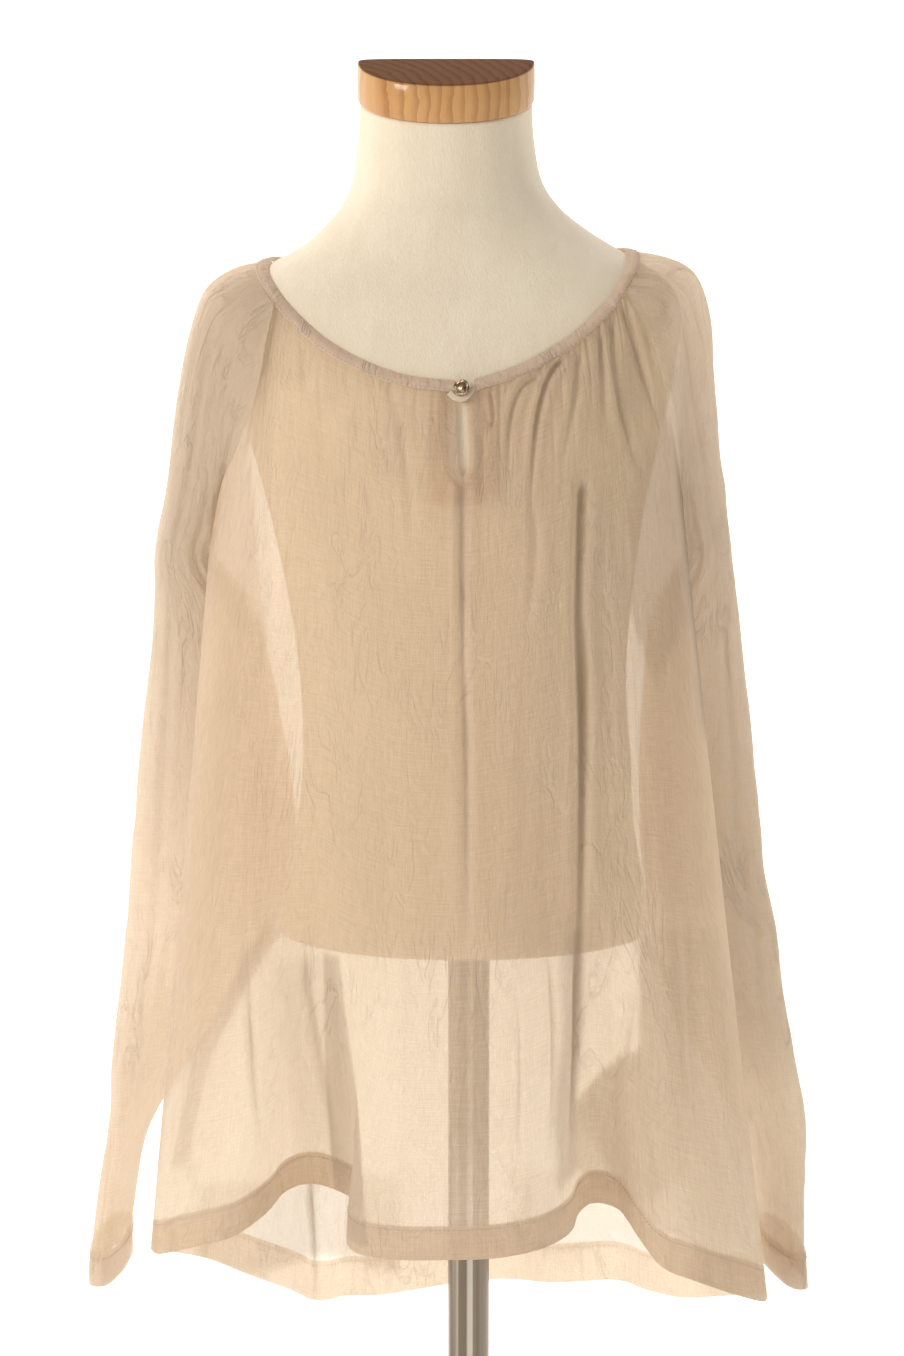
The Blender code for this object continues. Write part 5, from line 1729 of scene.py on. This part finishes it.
for label, grid, facing in (("front", front_grid, -1.0), ("back", back_grid, 1.0)):
    layer = turned_hem(grid, facing, HEM_ROWS, TURN_HEIGHT)
    extra = np.full(layer.shape[:2], HEM_LAYERS[label])
    hem = sheet_piece("hem_voile_" + label, layer, -facing, voile, extra)
    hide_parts("hem_" + label)
    out = out_of(grid, facing)
    stitch_piece("hem_stitches_" + label,
                 [(grid[-HEM_ROWS, 3:-3], out[-HEM_ROWS, 3:-3], STITCH_LIFT)])

for label, side in (("left", LEFT), ("right", RIGHT)):
    grid = sleeve_grids[label]
    normal = out_of(grid, -side)
    rows = SLEEVE_ROW_FINER
    cuff_grid = grid[-1 - rows:] + normal[-1 - rows:] * CUFF_GAP
    extra = np.full(cuff_grid.shape[:2], CUFF_LAYERS[label])
    cuff = sheet_piece("cuff_voile_" + label, cuff_grid, -side, voile, extra, weld=True)
    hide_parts("cuff_" + label)
    out = out_of(cuff_grid, -side)
    stitch_piece("cuff_stitches_" + label, [(cuff_grid[1], out[1], STITCH_LIFT)])

# %% [markdown]
# ## Neck binding
# A bias strip folded over the gathered edge holds all the fullness. It is denser than the voile,
# because it is four layers thick, and its lower edge ripples where the gathers run into it.

# %% Neck binding
BAND_STEPS = 420
BAND_THICK = 0.09
BAND_HUG = 0.10           # the upper edge lies closer to the form
BAND_WAVE = 0.042
PUCKER_SHADE = 0.28
NECK_STITCH_LIFT = 0.085  # the strip is thick, so its stitches stand farther out
# ways down the strip to its rows of points
BAND_DOWNS = [0.0, 0.10, 0.24, 0.40, 0.56, 0.70, BAND_WIDTH - 0.02]


def band_grid():
    draw = np.random.default_rng(5)
    lines = []
    for down in BAND_DOWNS:
        clear = mix(BAND_HUG, BAND_CLEAR, smooth(down / 0.5))
        lines.append([tuple(neck_point(EDGE_END * step / BAND_STEPS, down, clear))
                      for step in range(BAND_STEPS + 1)])
    grid = np.array(lines)
    waves = ripples(draw, grid.shape[:2], 2, 110) * BAND_WAVE
    low = smooths(np.linspace(0.0, 1.0, len(BAND_DOWNS)))[:, None]
    return grid + out_of(grid, -1.0) * (waves * low)[:, :, None]


neck_grid = band_grid()
# Painted shade: random pucker lines along the binding are darkened in its colour.
pucker_shade = ripples(np.random.default_rng(8), neck_grid.shape[:2], 1, 190)
band = sheet_piece("neck_binding", neck_grid, -1.0, binding,
                   np.clip(pucker_shade, 0.0, 1.2) * PUCKER_SHADE)
thicken = band.modifiers.new("folded_strip", "SOLIDIFY")
thicken.thickness = BAND_THICK * CM
thicken.offset = -0.4
soften = band.modifiers.new("soft_edges", "SUBSURF")
soften.levels = 1
soften.render_levels = 1
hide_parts("neck_band")
# The strip goes all the way round the neck, so its outer side is the one away from the middle.
neck_out = out_of(neck_grid, -1.0)
from_middle = neck_grid[:, :, :2] - neck_grid[:, :, :2].mean(axis=(0, 1))
neck_out *= np.sign(np.sum(neck_out[:, :, :2] * from_middle))
stitch_piece("neck_stitches", [(neck_grid[-2], neck_out[-2], NECK_STITCH_LIFT)])

# %% [markdown]
# ## Loop
# A flat strip of the same cloth is sewn to the left end of the binding, goes round under the
# button and back up behind it. Each ring along it is a flattened circle, square to the path.

# %% Loop
LOOP_THICK = 0.05
LOOP_SIDES = 16
LOOP_STEPS = 32
BEFORE_FORM = -9.5        # in front of the form, where a point starts before it is laid on it
# x, height, half width, distance from the form
LOOP_PATH = [
    (-1.36, 131.10, 0.20, 0.58),
    (-1.02, 130.78, 0.21, 0.64),
    (-0.62, 130.62, 0.18, 0.70),
    (-0.22, 130.72, 0.15, 0.70),
    (0.08, 131.05, 0.13, 0.64),
    (0.30, 131.45, 0.12, 0.56),
]


def loop_rings():
    last = len(LOOP_PATH) - 1
    spots, widths = [], []
    for step in range(LOOP_STEPS + 1):
        place = last * step / LOOP_STEPS
        row = along([(line[0], line[1], line[3]) for line in LOOP_PATH], place)
        spots.append(lay_on(Vector((row.x, BEFORE_FORM, row.y)), row.z))
        widths.append(float(np.interp(place, range(last + 1), [line[2] for line in LOOP_PATH])))
    rings = []
    for step, spot in enumerate(spots):
        way = (spots[min(step + 1, LOOP_STEPS)] - spots[max(step - 1, 0)]).normalized()
        _, out, _, _ = form_tree.find_nearest(spot)
        over = way.cross(out).normalized()
        out = over.cross(way)
        ring = []
        for side in range(LOOP_SIDES):
            angle = 2.0 * math.pi * side / LOOP_SIDES
            flat = math.copysign(abs(math.sin(angle)) ** 0.6, math.sin(angle))
            ring.append(spot + over * (math.cos(angle) * widths[step]) + out * (flat * LOOP_THICK))
        rings.append(ring)
    return rings


def cord_finish():
    """The binding's cloth on a piece without flat coordinates."""
    made, finish, shader = new_finish("loop_cloth")
    grain = finish.noise(finish.place("Object", (1500.0, 1500.0, 1500.0)), detail=2.0)
    finish.feed(shader.inputs["Base Color"],
                finish.tint(grain, rgb(0.58, 0.455, 0.34), rgb(0.72, 0.59, 0.46)))
    shader.inputs["Roughness"].default_value = 0.9
    shader.inputs["Specular IOR Level"].default_value = 0.12
    finish.feed(shader.inputs["Normal"], finish.bump(grain, 0.0003, 0.6))
    return made


loop = add_piece("button_loop_cloth", stack(loop_rings()), cord_finish())
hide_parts("button_loop")
print("loop", len(loop.data.polygons), "faces")

# %% [markdown]
# ## Button
# The button is one small cast dome with a rolled rim, tipped by the pull of the loop. Its half
# section is spun round its axis, and a round of subdivision softens the edges as casting does.

# %% Button
BUTTON_PLACE = (-0.50, 131.42)
BUTTON_TILT = Vector((-0.42, -1.0, 0.34)).normalized()
BUTTON_LIFT = 0.66
# radius, height
BUTTON_SECTION = [
    (0.0, 0.0),
    (0.36, 0.0),
    (0.49, 0.03),
    (0.555, 0.10),
    (0.55, 0.165),
    (0.505, 0.20),
    (0.455, 0.185),
    (0.42, 0.155),
    (0.37, 0.165),
    (0.27, 0.225),
    (0.14, 0.262),
    (0.0, 0.272),
]


def button_body():
    body = bmesh.new()
    line = [body.verts.new((radius, 0.0, rise)) for radius, rise in BUTTON_SECTION]
    for before, after in zip(line, line[1:]):
        body.edges.new((before, after))
    bmesh.ops.spin(body, geom=body.verts[:] + body.edges[:], cent=(0, 0, 0), axis=(0, 0, 1),
                   dvec=(0, 0, 0), angle=2.0 * math.pi, steps=40, use_merge=True)
    bmesh.ops.remove_doubles(body, verts=body.verts[:], dist=0.0005)
    bmesh.ops.recalc_face_normals(body, faces=body.faces[:])
    return body


def button_finish():
    """Cast metal with a brown patina that is rubbed bright in scattered spots."""
    made, finish, shader = new_finish("aged_metal")
    patina = finish.noise(finish.place("Object", (420.0, 420.0, 420.0)), detail=3.0)
    spots = finish.ramp(patina, 0.38, 0.66)
    finish.feed(shader.inputs["Base Color"],
                finish.tint(spots, rgb(0.085, 0.052, 0.030), rgb(0.42, 0.31, 0.21)))
    shader.inputs["Metallic"].default_value = 1.0
    finish.feed(shader.inputs["Roughness"], 0.42 - spots * 0.22)
    finish.feed(shader.inputs["Normal"], finish.bump(patina, 0.0006, 0.8))
    return made


button_shape = button_body()
seat = lay_on(Vector((BUTTON_PLACE[0], BEFORE_FORM, BUTTON_PLACE[1])), BUTTON_LIFT)
turn = BUTTON_TILT.to_track_quat("Z", "Y").to_matrix().to_4x4()
bmesh.ops.transform(button_shape, matrix=Matrix.Translation(seat) @ turn,
                    verts=button_shape.verts[:])
button = add_piece("metal_button", button_shape, button_finish())
round_off = button.modifiers.new("cast_edges", "SUBSURF")
round_off.levels = 1
round_off.render_levels = 1
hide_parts("button")
print("button", len(button.data.polygons), "faces")

# %% [markdown]
# ## The flat pieces
# A maker would cut each sheet flat, so a table gives how wide and long that cut is, what holds the
# sheet and what it lies on, and each cut's size is printed. The sizes are the lengths along the
# cloth, with seam allowances.

# %% Closing the lesson
# piece, widest across, longest down, cut area in square metres, how it is held, what it lies on
CUT_SHEETS = [
    ("front_voile", 0.72, 0.63, 0.305, "gathered", "form_cover"),
    ("back_voile", 0.60, 0.76, 0.310, "gathered", "form_cover"),
    ("sleeve_voile_left", 0.30, 0.77, 0.145, "gathered", "back_voile"),
    ("sleeve_voile_right", 0.30, 0.77, 0.140, "gathered", "back_voile"),
    ("keyhole_facing_voile", 0.05, 0.075, 0.0034, "hung", "front_voile"),
    ("hem_voile_front", 0.72, 0.026, 0.0182, "folded", "front_voile"),
    ("hem_voile_back", 0.60, 0.031, 0.0175, "folded", "back_voile"),
    ("cuff_voile_left", 0.205, 0.026, 0.0052, "folded", "sleeve_voile_left"),
    ("cuff_voile_right", 0.205, 0.027, 0.0054, "folded", "sleeve_voile_right"),
    ("neck_binding", 0.665, 0.010, 0.0064, "folded", "front_voile"),
]
for name, wide, long, area, held, under in CUT_SHEETS:
    print(name, "was cut", wide, "by", long, "m")
